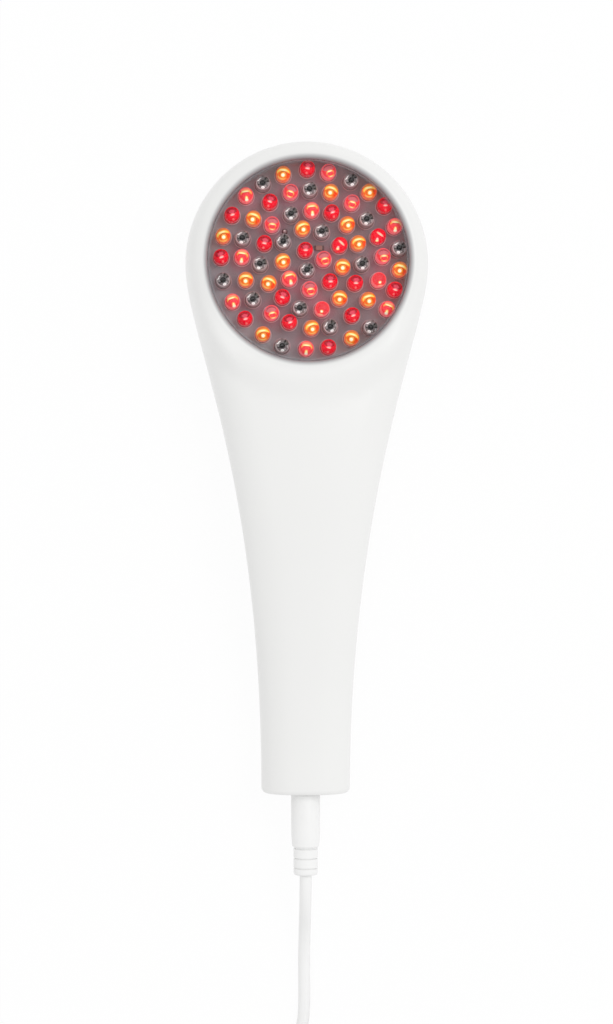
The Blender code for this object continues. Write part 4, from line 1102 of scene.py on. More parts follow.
def front_moulding(settings):
    """The front: bezel, window lip, light-well skirt, screw bosses and the rib over the jack."""
    core = half_body(True, settings, WALL / 2)
    bosses, pilots = [], []
    for x, y in HOUSING_SCREWS:
        foot = parting_height(y) + GAP / 2
        bosses.append(rod(HOUSING_BOSS_RADIUS, HEAD_DEPTH - foot, (x, y, foot), sides=THIN_SIDES))
        top = screw_seat(y) + HOUSING_SCREW_LENGTH + GAP
        pilots.append(rod(SCREW_RADIUS + GAP, top - foot + OVERRUN, (x, y, foot - OVERRUN), sides=PILOT_SIDES))
    skirt_foot = BOARD_TOP + GAP
    pocket = LENS_RADIUS + GAP
    skirt_height = CAVITY_TOP + WALL / 4 - skirt_foot
    skirt = rod(pocket + SKIRT_WALL, skirt_height, (0, HEAD_Y, skirt_foot), sides=ROUND_SIDES)
    lip = [
        (WINDOW_RADIUS + settings.window_lip * (1 - math.cos(turn)),
         HEAD_DEPTH - settings.window_lip * (1 - math.sin(turn)))
        for turn in reversed(quarter(8))
    ]
    window = turned([
        (0, HEAD_DEPTH + OVERRUN), (WINDOW_RADIUS + settings.window_lip, HEAD_DEPTH + OVERRUN), *lip,
        (WINDOW_RADIUS, CAVITY_TOP - OVERRUN / 2), (0, CAVITY_TOP - OVERRUN / 2),
    ], (0, HEAD_Y, 0), sides=ROUND_SIDES)
    rib_foot = JACK_Z + JACK_HEIGHT / 2 + GAP
    rib_y = JACK_Y + JACK_LENGTH / 2
    rib_top = face_height(rib_y) - face_sink(0.0, rib_y) - WALL / 2
    rib = block((CRADLE_WIDTH, WALL, rib_top - rib_foot), (0, rib_y, (rib_top + rib_foot) / 2))
    rooted_bosses = carved(together(*bosses), ("INTERSECT", core))
    return carved(
        half_body(True, settings),
        ("DIFFERENCE", half_body(True, settings, WALL, OVERRUN)),
        ("DIFFERENCE", seam_block(LIP_INSET, -OVERRUN, LIP_HEIGHT + GAP)),
        ("UNION", skirt),
        ("DIFFERENCE", rod(pocket, CAVITY_TOP - skirt_foot + OVERRUN, (0, HEAD_Y, skirt_foot - OVERRUN),
                           sides=ROUND_SIDES)),
        ("DIFFERENCE", window),
        ("UNION", together(rooted_bosses, rib)),
        ("DIFFERENCE", together(*pilots, jack_opening())),
    )


def back_moulding(settings):
    """The back: tongue, screw bosses and wells, board posts, jack cradle and button hole."""
    core = half_body(False, settings, WALL / 2, HEAD_DEPTH)
    well_radius, hole = SCREW_HEAD_RADIUS + GAP, BUTTON_RADIUS + GAP
    mouth = well_radius + HOUSING_WELL_CHAMFER
    posts, cuts = [], []
    for x, y in HOUSING_SCREWS:
        top, seat = parting_height(y) - GAP / 2, screw_seat(y)
        posts.append(rod(well_radius + HOUSING_WELL_WALL, top, (x, y, 0), sides=THIN_SIDES))
        cuts.append(turned([
            (0, -OVERRUN), (mouth, -OVERRUN), (mouth, 0.0), (well_radius, HOUSING_WELL_CHAMFER),
            (well_radius, seat), (SCREW_RADIUS + GAP, seat), (SCREW_RADIUS + GAP, top + OVERRUN),
            (0, top + OVERRUN),
        ], (x, y, 0), sides=WELL_SIDES))
    hole_depth = CONTROL_SCREW_LENGTH - CONTROL_THICKNESS
    for y in CONTROL_SCREWS:
        posts.append(rod(CONTROL_POST_RADIUS, CONTROL_BOTTOM - GAP, (0, y, 0), sides=THIN_SIDES))
        cuts.append(rod(
            SCREW_RADIUS + GAP, hole_depth + OVERRUN, (0, y, CONTROL_BOTTOM - hole_depth), sides=PILOT_SIDES
        ))
    for turn in around(BOARD_POSTS):
        x = BOARD_POST_CIRCLE * math.cos(turn + math.pi / 4)
        y = HEAD_Y + BOARD_POST_CIRCLE * math.sin(turn + math.pi / 4)
        posts.append(rod(BOARD_POST_RADIUS, BOARD_BOTTOM - GAP, (x, y, 0), sides=THIN_SIDES))
    cuts.append(turned([
        (0, -OVERRUN), (hole + HOLE_CHAMFER, -OVERRUN), (hole + HOLE_CHAMFER, BUTTON_BACK),
        (hole, BUTTON_BACK + HOLE_CHAMFER), (hole, BUTTON_BACK + WALL + OVERRUN),
        (0, BUTTON_BACK + WALL + OVERRUN),
    ], (0, BUTTON_Y, 0)))
    cradle_top = JACK_Z - JACK_HEIGHT / 2 - GAP
    cradle = block(
        (CRADLE_WIDTH, CRADLE_LENGTH, cradle_top - WALL / 2),
        (0, JACK_Y + JACK_LENGTH / 2, (cradle_top + WALL / 2) / 2)
    )
    return carved(
        half_body(False, settings),
        ("UNION", seam_block(LIP_INSET + GAP, -LIP_ROOT, LIP_HEIGHT)),
        ("DIFFERENCE", half_body(False, settings, WALL, LIP_HEIGHT + OVERRUN)),
        ("UNION", together(carved(together(*posts), ("INTERSECT", core)), cradle)),
        ("DIFFERENCE", together(*cuts, jack_opening())),
    )


def jack_opening():
    """The cutter of the hole in the handle's end, with its rim eased."""
    reach = BARREL_RADIUS + GAP
    return turned([
        (0, -OVERRUN), (reach + HOLE_CHAMFER, -OVERRUN), (reach + HOLE_CHAMFER, 0), (reach, HOLE_CHAMFER),
        (reach, WALL + OVERRUN), (0, WALL + OVERRUN),
    ], (0, END_Y, JACK_Z), "Y")


# Geometry Nodes

class Growth(Graph):
    """A Geometry Nodes tree with named inputs, that repeats one small shape on the points of a mesh."""

    def __init__(self, name, **sizes):
        super().__init__(bpy.data.node_groups.new(name, "GeometryNodeTree"))
        self.keys = {}
        self.socket("Geometry", "NodeSocketGeometry")
        self.tree.interface.new_socket("Geometry", in_out="OUTPUT", socket_type="NodeSocketGeometry")
        for size, value in sizes.items():
            self.socket(size, "NodeSocketFloat").default_value = value
        self.socket("Material", "NodeSocketMaterial")
        self.start = self.tree.nodes.new("NodeGroupInput")

    def socket(self, name, kind):
        """Adds a named input."""
        socket = self.tree.interface.new_socket(name.replace("_", " "), in_out="INPUT", socket_type=kind)
        self.keys[name] = socket.identifier
        return socket

    def size(self, name):
        """The value of a named input."""
        return Value(self, self.start.outputs[name.replace("_", " ")])

    def moved(self, geometry, place):
        """The geometry shifted by a vector."""
        return self.node("GeometryNodeTransform", None, {"Geometry": geometry, "Translation": place})

    def lifted(self, geometry, height):
        """The geometry raised by a height."""
        return self.moved(geometry, self.node("ShaderNodeCombineXYZ", None, {"Z": height}))

    def bar(self, radius, depth, foot, sides, cap="NGON"):
        """A round bar of `depth` whose foot is at the height `foot`."""
        solid = self.node(
            "GeometryNodeMeshCylinder", {"fill_type": cap}, {"Vertices": sides, "Radius": radius, "Depth": depth}
        )
        return self.lifted(solid, foot + depth * 0.5)

    def cone(self, top, bottom, depth, sides):
        """A blunt cone with its foot at the height 0."""
        return self.node("GeometryNodeMeshCone", {"fill_type": "NGON"}, {
            "Vertices": sides, "Radius Top": top, "Radius Bottom": bottom, "Depth": depth,
        })

    def compared(self, operation, first, second):
        """Whether the one number is more or less than the other."""
        settings = {"data_type": "FLOAT", "operation": operation}
        return self.node("FunctionNodeCompare", settings, {0: first, 1: second})

    def boolean(self, operation, sockets):
        """Solids joined, or cut out of one another."""
        return self.node("GeometryNodeMeshBoolean", {"operation": operation, "solver": "EXACT"}, sockets)

    def repeated(self, shapes, mark):
        """The shapes on each point, turned by the point's own turn, as one real mesh in its material. The
        shapes' own place is kept in the attribute `mark`."""
        joined = self.node("GeometryNodeJoinGeometry", None, {0: shapes})
        merged = self.node("GeometryNodeMergeByDistance", None, {"Geometry": joined, "Distance": MERGE_DISTANCE})
        sharp = self.compared("GREATER_THAN", self.node("GeometryNodeInputMeshEdgeAngle"), SHARP_ANGLE)
        smooth = self.node("FunctionNodeBooleanMath", {"operation": "NOT"}, {0: sharp})
        shaded = self.node(
            "GeometryNodeSetShadeSmooth", {"domain": "EDGE"}, {"Geometry": merged, "Shade Smooth": smooth}
        )
        kept = self.node(
            "GeometryNodeStoreNamedAttribute", {"data_type": "FLOAT_VECTOR", "domain": "POINT"},
            {"Geometry": shaded, "Name": mark, "Value": self.node("GeometryNodeInputPosition")}
        )
        turn = self.node("GeometryNodeInputNamedAttribute", {"data_type": "FLOAT"}, {"Name": "turn"})
        spread = self.node("GeometryNodeInstanceOnPoints", None, {
            "Points": self.size("Geometry"), "Instance": kept,
            "Rotation": self.node("ShaderNodeCombineXYZ", None, {"Z": turn}),
        })
        real = self.node("GeometryNodeRealizeInstances", None, {"Geometry": spread})
        painted = self.node(
            "GeometryNodeSetMaterial", None, {"Geometry": real, "Material": self.size("Material")}
        )
        self.link(painted, self.tree.nodes.new("NodeGroupOutput").inputs[0])

    def grown(self, places, turns, material, **sizes):
        """The plain mesh that the tree makes on the given places."""
        points = bpy.data.meshes.new("points")
        points.from_pydata(places, [], [])
        points.attributes.new("turn", "FLOAT", "POINT").data.foreach_set("value", turns)
        obj = placed("points", points)
        modifier = obj.modifiers.new("grow", "NODES")
        modifier.node_group = self.tree
        for name, value in {**sizes, "Material": material}.items():
            modifier[self.keys[name]] = value
        return evaluated_mesh(obj)


def lamp_growth():
    """A lamp's flange on the board, its straight body and its round dome."""
    growth = Growth("lamps", radius=0.0025, flange_radius=0.0029, height=LED_HEIGHT, flange=LED_FLANGE_HEIGHT)
    radius, flange = growth.size("radius"), growth.size("flange")
    dome_start = growth.size("height") - radius
    ball = growth.node("GeometryNodeMeshUVSphere", None, {
        "Segments": LAMP_SIDES, "Rings": LAMP_ROWS, "Radius": radius,
    })
    _, _, z = growth.parts(growth.node("GeometryNodeInputPosition"))
    dome = growth.node(
        "GeometryNodeDeleteGeometry", {"domain": "POINT"},
        {"Geometry": ball, "Selection": growth.compared("LESS_THAN", z, -MERGE_DISTANCE)}
    )
    growth.repeated([
        growth.bar(growth.size("flange_radius"), flange, 0.0, FLANGE_SIDES),
        growth.bar(radius, dome_start - flange, flange, LAMP_SIDES, "NONE"),
        growth.lifted(dome, dome_start),
    ], "lamp_place")
    return growth


def frame_growth():
    """The metal frame inside a clear lamp: a leg with the reflector cup, and the thinner leg beside it."""
    growth = Growth("lead_frames", leg=0.00032, leg_spacing=0.0014, cup=0.0011, cup_depth=0.0009, cup_foot=0.0034)
    leg, cup, foot = growth.size("leg"), growth.size("cup"), growth.size("cup_foot")
    beside = growth.node("ShaderNodeCombineXYZ", None, {"X": growth.size("leg_spacing")})
    growth.repeated([
        growth.bar(leg * 1.5, foot, 0.0, LEG_SIDES),
        growth.moved(growth.bar(leg, foot * 1.15, 0.0, LEG_SIDES), beside),
        growth.lifted(growth.cone(cup, cup * 0.45, growth.size("cup_depth"), CUP_SIDES), foot),
    ], "frame_place")
    return growth


def screw_growth():
    """A pan-head screw with a cross recess and a threaded shank, its head downwards."""
    growth = Growth("screws", radius=SCREW_RADIUS, head_radius=SCREW_HEAD_RADIUS, head_height=SCREW_HEAD_HEIGHT,
                    length=HOUSING_SCREW_LENGTH)
    radius, length = growth.size("radius"), growth.size("length")
    head_radius, height = growth.size("head_radius"), growth.size("head_height")
    side, core = height * HEAD_SIDE_SHARE, radius * CORE_SHARE
    rim = growth.bar(head_radius, side, side * -1.0, SCREW_SIDES)
    crown = growth.cone(head_radius, head_radius * HEAD_CROWN_SHARE, height - side, SCREW_SIDES)
    crown = growth.lifted(crown, height * -1.0)
    slots = []
    for across, along in ((1.0, RECESS_WIDTH_SHARE), (RECESS_WIDTH_SHARE, 1.0)):
        size = growth.node("ShaderNodeCombineXYZ", None, {
            "X": radius * (RECESS_LENGTH_SHARE * across), "Y": radius * (RECESS_LENGTH_SHARE * along),
            "Z": height,
        })
        slots.append(growth.lifted(growth.node("GeometryNodeMeshCube", None, {"Size": size}), height * -1.0))
    whole_head = growth.boolean("UNION", {"Mesh 2": [rim, crown]})
    head = growth.boolean("DIFFERENCE", {"Mesh 1": whole_head, "Mesh 2": slots})
    thread = growth.node("GeometryNodeCurveSpiral", None, {
        "Resolution": SHANK_SIDES, "Rotations": THREAD_TURNS, "Start Radius": core, "End Radius": core,
        "Height": length * THREAD_SHARE,
    })
    wire = growth.node("GeometryNodeCurvePrimitiveCircle", None, {
        "Resolution": 4, "Radius": radius * THREAD_DEPTH_SHARE,
    })
    ridge = growth.node(
        "GeometryNodeCurveToMesh", None, {"Curve": thread, "Profile Curve": wire, "Fill Caps": True}
    )
    growth.repeated([
        head,
        growth.bar(core, length - radius, 0.0, SHANK_SIDES),
        growth.lifted(growth.cone(radius * POINT_SHARE, core, radius, SHANK_SIDES), length - radius),
        growth.lifted(ridge, length * THREAD_START_SHARE),
    ], "screw_place")
    return growth


# Operators

class WAND_OT_stage(bpy.types.Operator):
    """Set the white table, the even light, the soft key light and the camera above"""
    bl_idname = "wand.stage"
    bl_label = "Stage and camera"

    def execute(self, context):
        settings, scene = context.scene.wand_stage, context.scene
        scene.view_settings.view_transform = "Standard"
        scene.world = bpy.data.worlds.new("studio")
        scene.world.use_nodes = True
        studio = Graph(scene.world.node_tree)
        even = studio.tree.nodes["Background"]
        even.inputs["Color"].default_value = WHITE
        even.inputs["Strength"].default_value = settings.world_strength
        world_end = studio.tree.nodes["World Output"]
        studio.over_white(Value(studio, even.outputs[0]), "ShaderNodeBackground", 1.0, world_end)

        table = bmesh.new()
        level = Matrix.Translation((0, 0, -TABLE_DROP))
        bmesh.ops.create_grid(table, x_segments=1, y_segments=1, size=TABLE_HALF_WIDTH, matrix=level)
        mesh = mesh_of(table, "table_top")
        mesh.materials.append(stock("white_table", white_table))
        placed("table_top", mesh)

        key = bpy.data.lights.new("key_light", "AREA")
        key.shape = "DISK"
        key.size = KEY_SIZE
        key.energy = settings.key_power
        lamp = placed("key_light", key)
        lamp.location = KEY_PLACE
        lamp.rotation_euler = (Vector(KEY_AIM) - lamp.location).to_track_quat("-Z", "Y").to_euler()

        view = bpy.data.cameras.new("camera")
        view.sensor_fit = "VERTICAL"
        view.sensor_height = FILM_HEIGHT
        view.lens = settings.lens
        view.clip_start = 0.01
        camera = placed("camera", view)
        camera.location = (settings.camera_x, settings.camera_y, settings.camera_height)
        back = (camera.location - Vector((0, settings.camera_y, AIM_HEIGHT))).normalized()
        right = Vector((0, 1, 0)).cross(back).normalized()
        camera.rotation_euler = Matrix((right, back.cross(right), back)).transposed().to_euler()
        scene.camera = camera
        return {"FINISHED"}


class WAND_OT_lead(bpy.types.Operator):
    """Lay the lead from its plug to the coil and on to the adapter, with its plug, tie and adapter"""
    bl_idname = "wand.lead"
    bl_label = "Lead, plug and adapter"

    def execute(self, context):
        settings = context.scene.wand_lead
        vinyl = stock("white_vinyl", soft_vinyl, settings.vinyl)
        plate = stock("nickel_plate", bright_metal, *NICKEL)
        black = stock("black_polymer", grained_plastic, BLACK)
        case = stock("adapter_white", moulded_plastic, settings.case, 0.36)

        grip = turned(plug_outline(), (0, PLUG_Y, JACK_Z), "Y", FINE_SIDES)
        grip = piece("plug_grip", grip, vinyl, "lead", ("plug_body",), 50)
        sleeve_end = BARREL_LENGTH - BARREL_TIP - GAP
        barrel = turned([
            (BARREL_BORE_RADIUS, sleeve_end), (BARREL_RADIUS, sleeve_end), (BARREL_RADIUS, 0),
            (BARREL_BORE_RADIUS, 0), (BARREL_BORE_RADIUS, sleeve_end),
        ], (0, PLUG_Y + GAP, JACK_Z), "Y", BARREL_SIDES)
        barrel = piece("plug_sleeve", barrel, plate, "lead", ("plug_barrel",))
        tip = turned([
            (BARREL_BORE_RADIUS, BARREL_TIP), (BARREL_RADIUS - 2 * BARREL_RIM, BARREL_TIP),
            (BARREL_RADIUS - BARREL_RIM / 2, BARREL_TIP - BARREL_RIM),
            (BARREL_RADIUS, BARREL_TIP - 3 * BARREL_RIM), (BARREL_RADIUS, 0), (BARREL_BORE_RADIUS, 0),
            (BARREL_BORE_RADIUS, BARREL_TIP),
        ], (0, PLUG_Y + GAP + BARREL_LENGTH - BARREL_TIP, JACK_Z), "Y", BARREL_SIDES)
        tip = piece("plug_insulator", tip, black, "lead", ("plug_tip",))
        tie = piece("twist_tie", tie_shape(), black, "lead", ("coil_tie",))
        on_lead = [grip, barrel, tip, tie, *adapter_pieces(case, vinyl, plate)]

        route = whole_route()
        curve = bpy.data.curves.new("power_cord", "CURVE")
        curve.dimensions = "3D"
        curve.bevel_depth = CORD_RADIUS
        curve.bevel_resolution = 4
        curve.use_fill_caps = True
        spline = curve.splines.new("POLY")
        spline.points.add(len(route) - 1)
        for point, at in zip(spline.points, route):
            point.co = (*at, 1.0)
        spline.use_smooth = True
        curve.materials.append(vinyl)
        cord = placed("power_cord", curve)
        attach(cord, "lead")
        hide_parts("lead_cord", "lead_coil", "lead_tail")
        return {"FINISHED"}


def plug_outline():
    """The plug's moulded grip: straight, a little taper, then the strain relief with its thin grooves."""
    outline = [(0, 0), (PLUG_GRIP - PLUG_EDGE, 0), (PLUG_GRIP - PLUG_BEVEL, -PLUG_BEVEL), (PLUG_GRIP, -PLUG_EDGE)]
    for step in range(PLUG_TAPER_STEPS + 1):
        share = step / PLUG_TAPER_STEPS
        outline.append((PLUG_GRIP - (PLUG_GRIP - PLUG_SHOULDER) * share**2, -PLUG_STRAIGHT - PLUG_TAPER * share))
    neck = PLUG_RELIEF
    tapered = -PLUG_STRAIGHT - PLUG_TAPER
    outline.append((neck + PLUG_BEVEL / 2, tapered - PLUG_BEVEL))
    for number in range(PLUG_RINGS):
        groove = tapered - 3 * PLUG_BEVEL - PLUG_RING_PITCH * number
        outline += [(neck - PLUG_GROOVE * depth, groove - along) for depth, along in PLUG_GROOVE_OUTLINE]
    end = -PLUG_LENGTH
    return outline + [
        (neck, end + 4 * PLUG_BEVEL), (neck - PLUG_BEVEL, end + PLUG_BEVEL), (neck - PLUG_EDGE, end),
        (CORD_RADIUS + PLUG_BEVEL, end), (0, end),
    ]


def smooth_route(points, step):
    """Points every `step` along a smooth curve through the route's own points."""
    knots = [Vector(point) for point in points]
    knots = [2 * knots[0] - knots[1], *knots, 2 * knots[-1] - knots[-2]]
    route = []
    for before, start, end, after in zip(knots, knots[1:], knots[2:], knots[3:]):
        pieces = max(1, round((end - start).length / step))
        for number in range(pieces):
            t = number / pieces
            route.append(
                0.5 * (2 * start + (end - before) * t + (2 * before - 5 * start + 4 * end - after) * t**2
                       + (3 * start - before - 3 * end + after) * t**3)
            )
    route.append(knots[-2])
    return route


def coil_route():
    """The centre line of the coil: layers that spiral in and out by turns, climbing where the spiral reverses."""
    layer_points = round(COIL_LAYER_TURNS * COIL_POINTS_A_TURN)
    climb_points = round(COIL_CLIMB_TURNS * COIL_POINTS_A_TURN)
    turn_step = 2 * math.pi / COIL_POINTS_A_TURN
    radius, height, turn = COIL_OUTER_RADIUS, COIL_Z, math.pi
    polar = [(turn, radius, height)]
    for layer in range(COIL_LAYERS):
        inward = -1 if layer % 2 == 0 else 1
        for _ in range(layer_points):
            turn += turn_step
            radius += inward * COIL_PITCH / COIL_POINTS_A_TURN
            polar.append((turn, radius, height))
        if layer == COIL_LAYERS - 1:
            break
        for _ in range(climb_points):
            turn += turn_step
            height += COIL_LAYER_STEP / climb_points
            polar.append((turn, radius, height))
    return [Vector((COIL_CENTRE_X + r * math.cos(a), COIL_CENTRE_Y + r * math.sin(a), z)) for a, r, z in polar]


# The lead from the plug to the coil: its share of the way across to the coil's first turn, how far it is past
# the plug's tail, and its height
LEAD_DROP = (
    (0.0, 0.0032, JACK_Z), (0.0, 0.0102, 0.0128), (0.0, 0.0192, 0.0070), (0.0, 0.0282, 0.0029),
    (0.0, 0.0372, CORD_Z), (0.0, 0.0462, CORD_Z), (0.05, 0.0542, CORD_Z), (0.30, 0.0642, CORD_Z),
    (0.69, 0.0732, 0.0024), (0.93, 0.0812, 0.0029),
)
# And from the coil to the adapter: its share of the way across to the boot, how far it is past the coil's
# middle, and its height
TAIL_DROP = ((0.04, 0.008, 0.0160), (0.27, 0.018, 0.0138), (0.67, 0.028, 0.0118))


def whole_route():
    """The cord's centre line from the plug's tail, through the coil, to the adapter's boot."""
    coil = coil_route()
    heading = Vector((0, -1, 0))
    start, end = coil[0], coil[-1]
    boot_tip = Vector((ADAPTER_X, ADAPTER_Y + BOOT_LENGTH, BOOT_Z))
    across = boot_tip.x - end.x
    lead = smooth_route([
        Vector((0, PLUG_TAIL_Y - GAP, JACK_Z)),
        *(Vector((share * start.x, PLUG_TAIL_Y - past, height)) for share, past, height in LEAD_DROP),
        start - heading * (2 * CORD_RADIUS + GAP), start - heading * GAP,
    ], CORD_RADIUS)
    tail = smooth_route([
        end + heading * GAP, end + heading * (2 * CORD_RADIUS + GAP),
        *(Vector((end.x + share * across, COIL_CENTRE_Y - past, height)) for share, past, height in TAIL_DROP),
        boot_tip - heading * 2 * CORD_RADIUS, boot_tip - heading * GAP,
    ], CORD_RADIUS)
    return [*lead, *coil, *tail]


def tie_shape():
    """The flat twist tie round the coil's right side, with its twisted ends."""
    inner_radius = COIL_OUTER_RADIUS - COIL_PITCH * COIL_LAYER_TURNS
    low = COIL_Z - CORD_RADIUS - TIE_CLEARANCE
    high = COIL_Z + COIL_LAYER_STEP * (COIL_LAYERS - 1) + CORD_RADIUS + TIE_CLEARANCE
    left = COIL_CENTRE_X + inner_radius - CORD_RADIUS - TIE_CLEARANCE - COIL_PITCH / 2
    right = COIL_CENTRE_X + COIL_OUTER_RADIUS + CORD_RADIUS + TIE_CLEARANCE
    size = (right - left, TIE_WIDTH, high - low)
    middle = ((left + right) / 2, COIL_CENTRE_Y, (low + high) / 2)
    band = slab((size[0] + 2 * TIE_THICKNESS, TIE_WIDTH, size[2] + 2 * TIE_THICKNESS), middle,
                CORD_RADIUS + TIE_THICKNESS, TIE_THICKNESS / 4, 1)
    inside = slab((size[0], TIE_WIDTH + 2 * OVERRUN, size[2]), middle, CORD_RADIUS, TIE_THICKNESS / 4, 1)
    strands = []
    for side in (0, math.pi):
        turns = [side + step * math.pi / 6 for step in range(TIE_TWISTS)]
        strands.append(strand([
            Vector((
                right + TIE_THICKNESS * 0.7 + step * STRAND_TURN, COIL_CENTRE_Y + STRAND_TURN * math.cos(turn),
                middle[2] + STRAND_TURN * math.sin(turn)
            )) for step, turn in enumerate(turns)
        ], STRAND_RADIUS))
    return together(cut(band, inside), *strands)


def strand(points, radius, sides=8):
    """A thin round wire along the points, which run roughly along X."""
    shape = bmesh.new()
    rings = [
        [shape.verts.new(point + Vector((0, radius * math.cos(a), radius * math.sin(a)))) for a in around(sides)]
        for point in points
    ]
    join_rings(shape, rings)
    shape.faces.new(rings[0])
    shape.faces.new(rings[-1])
    bmesh.ops.recalc_face_normals(shape, faces=shape.faces)
    return shape


def adapter_pieces(case, vinyl, plate):
    """The wall adapter: its case with a parting groove, blade plate, boot with ribs, and two drilled blades."""
    width, length, height = ADAPTER_SIZE
    middle_y = ADAPTER_Y - length / 2
    slit = (ADAPTER_X, middle_y, height * GROOVE_SHARE)
    groove = cut(
        block((width + OVERRUN, length + OVERRUN, GROOVE_HEIGHT), slit),
        slab((width - 2 * GROOVE_DEPTH, length - 2 * GROOVE_DEPTH, OVERRUN), slit, GROOVE_CORNER, GROOVE_EDGE)
    )
    body = slab(ADAPTER_SIZE, (ADAPTER_X, middle_y, height / 2), ADAPTER_CORNER, ADAPTER_EDGE, rims=(-1,))
    plate_foot, plate_middle = height + GAP, height + GAP + PLATE_THICKNESS / 2
    slots, blades = [], []
    for side, name in ((-1, "left"), (1, "right")):
        x, y = ADAPTER_X + side * BLADE_SPACING / 2, middle_y - length / 2 + BLADE_SETBACK
        slot_size = (BLADE_SIZE[0] + 2 * GAP, BLADE_SIZE[1] + 2 * GAP, PLATE_THICKNESS + 2 * OVERRUN)
        slots.append(block(slot_size, (x, y, plate_middle)))
        foot = plate_foot + GAP
        blade = block(BLADE_SIZE, (x, y, foot + BLADE_SIZE[2] / 2), BLADE_EDGE)
        drill_at = (x - 2 * BLADE_SIZE[0], y, foot + BLADE_SIZE[2] - BLADE_HOLE_DROP)
        hole = rod(BLADE_HOLE_RADIUS, 4 * BLADE_SIZE[0], drill_at, "X", THIN_SIDES)
        blade = cut(blade, hole)
        blades.append(piece(f"blade_{name}", blade, plate, "lead", (f"adapter_blade_{name}",)))
    face = cut(
        slab((width, length, PLATE_THICKNESS), (ADAPTER_X, middle_y, plate_middle), ADAPTER_CORNER, PLATE_EDGE,
             rims=(1,)),
        together(*slots)
    )
    outline = [
        (0, BOOT_LENGTH), (CORD_RADIUS + BOOT_EDGE, BOOT_LENGTH),
        (BOOT_TIP_RADIUS - 3 * BOOT_EDGE, BOOT_LENGTH - BOOT_EDGE), (BOOT_TIP_RADIUS, BOOT_LENGTH - 6 * BOOT_EDGE),
    ]
    for number in range(BOOT_RIBS):
        at = BOOT_LENGTH - BOOT_RIB_PITCH * (number + 1)
        reach = BOOT_TIP_RADIUS + (BOOT_RADIUS - BOOT_TIP_RADIUS) * (BOOT_LENGTH - at) / (BOOT_LENGTH * 0.75)
        floor = reach - BOOT_GROOVE
        rib = ((reach, 0), (floor, 2), (floor, 6), (reach, 8))
        outline += [(radius, at - BOOT_EDGE * edges) for radius, edges in rib]
    outline += [(BOOT_RADIUS, BOOT_LENGTH / 4), (BOOT_RADIUS, GAP), (0, GAP)]
    return [
        piece("adapter_body", cut(body, groove), case, "lead", ("adapter_case",)),
        piece("adapter_face", face, case, "lead", ("adapter_plate",)),
        piece("cord_boot", turned(outline, (ADAPTER_X, ADAPTER_Y, BOOT_Z), "Y"), vinyl, "lead",
              ("adapter_boot",)),
        *blades,
    ]


class WAND_OT_housing(bpy.types.Operator):
    """Mould the front and back of the body, and the button in the back"""
    bl_idname = "wand.housing"
    bl_label = "Mouldings and button"

    def execute(self, context):
        settings = context.scene.wand_housing
        white = stock("white_moulding", moulded_plastic, settings.white)
        lipped = stock("white_front_moulding", moulded_plastic, settings.white, 0.30, settings.window_lip)
        piece("front_housing", front_moulding(settings), lipped, "wand", ("front_shell",), 40)
        piece("back_housing", back_moulding(settings), white, "wand", ("back_shell",), 40)
        face = BUTTON_BACK - BUTTON_PROUD
        flange_bottom = BUTTON_BACK + WALL + GAP
        flange_top = flange_bottom + BUTTON_FLANGE_HEIGHT
        dish = [
            (BUTTON_RADIUS * BUTTON_DISH_SHARE * math.sin(turn), face + BUTTON_DISH * math.cos(turn) ** 2)
            for turn in reversed(quarter(6))
        ]
        cap = turned([
            (0, flange_top), (BUTTON_RADIUS + BUTTON_FLANGE, flange_top),
            (BUTTON_RADIUS + BUTTON_FLANGE, flange_bottom), (BUTTON_RADIUS, flange_bottom),
            *((BUTTON_RADIUS - BUTTON_PROUD * (1 - math.cos(turn)), face + BUTTON_PROUD * (1 - math.sin(turn)))
              for turn in quarter(5)),
            *dish,
        ], (0, BUTTON_Y, 0), sides=FINE_SIDES)
        piece("button_cap", cap, white, "button", ("power_button",), 40)
        return {"FINISHED"}


class WAND_OT_window(bpy.types.Operator):
    """Fit the clear window with its raised face, and the light well's wall"""
    bl_idname = "wand.window"
    bl_label = "Window and light well"

    def execute(self, context):
        acrylic = stock("clear_acrylic", clear_acrylic)
        step_radius, step_top, edge = WINDOW_RADIUS - GAP / 4, LENS_TOP + LENS_STEP, LENS_EDGE
        pane = turned([
            (0, step_top), (step_radius - edge, step_top), (step_radius, step_top - edge), (step_radius, LENS_TOP),
            (LENS_RADIUS - edge / 2, LENS_TOP), (LENS_RADIUS, LENS_TOP - edge / 2), (LENS_RADIUS, LENS_BOTTOM),
            (0, LENS_BOTTOM),
        ], (0, HEAD_Y, 0), sides=ROUND_SIDES)
        piece("window_pane", pane, acrylic, "wand", ("window_lens",))
        inner, top, foot = LENS_RADIUS - WELL_WALL, LENS_BOTTOM - GAP, BOARD_TOP + GAP
        wall = turned([
            (inner, top), (LENS_RADIUS, top), (LENS_RADIUS, foot), (inner, foot), (inner, top)
        ], (0, HEAD_Y, 0), sides=ROUND_SIDES)
        white = stock("white_moulding", moulded_plastic, context.scene.wand_housing.white)
        piece("well_wall", wall, white, "wand", ("light_well_ring",))
        return {"FINISHED"}


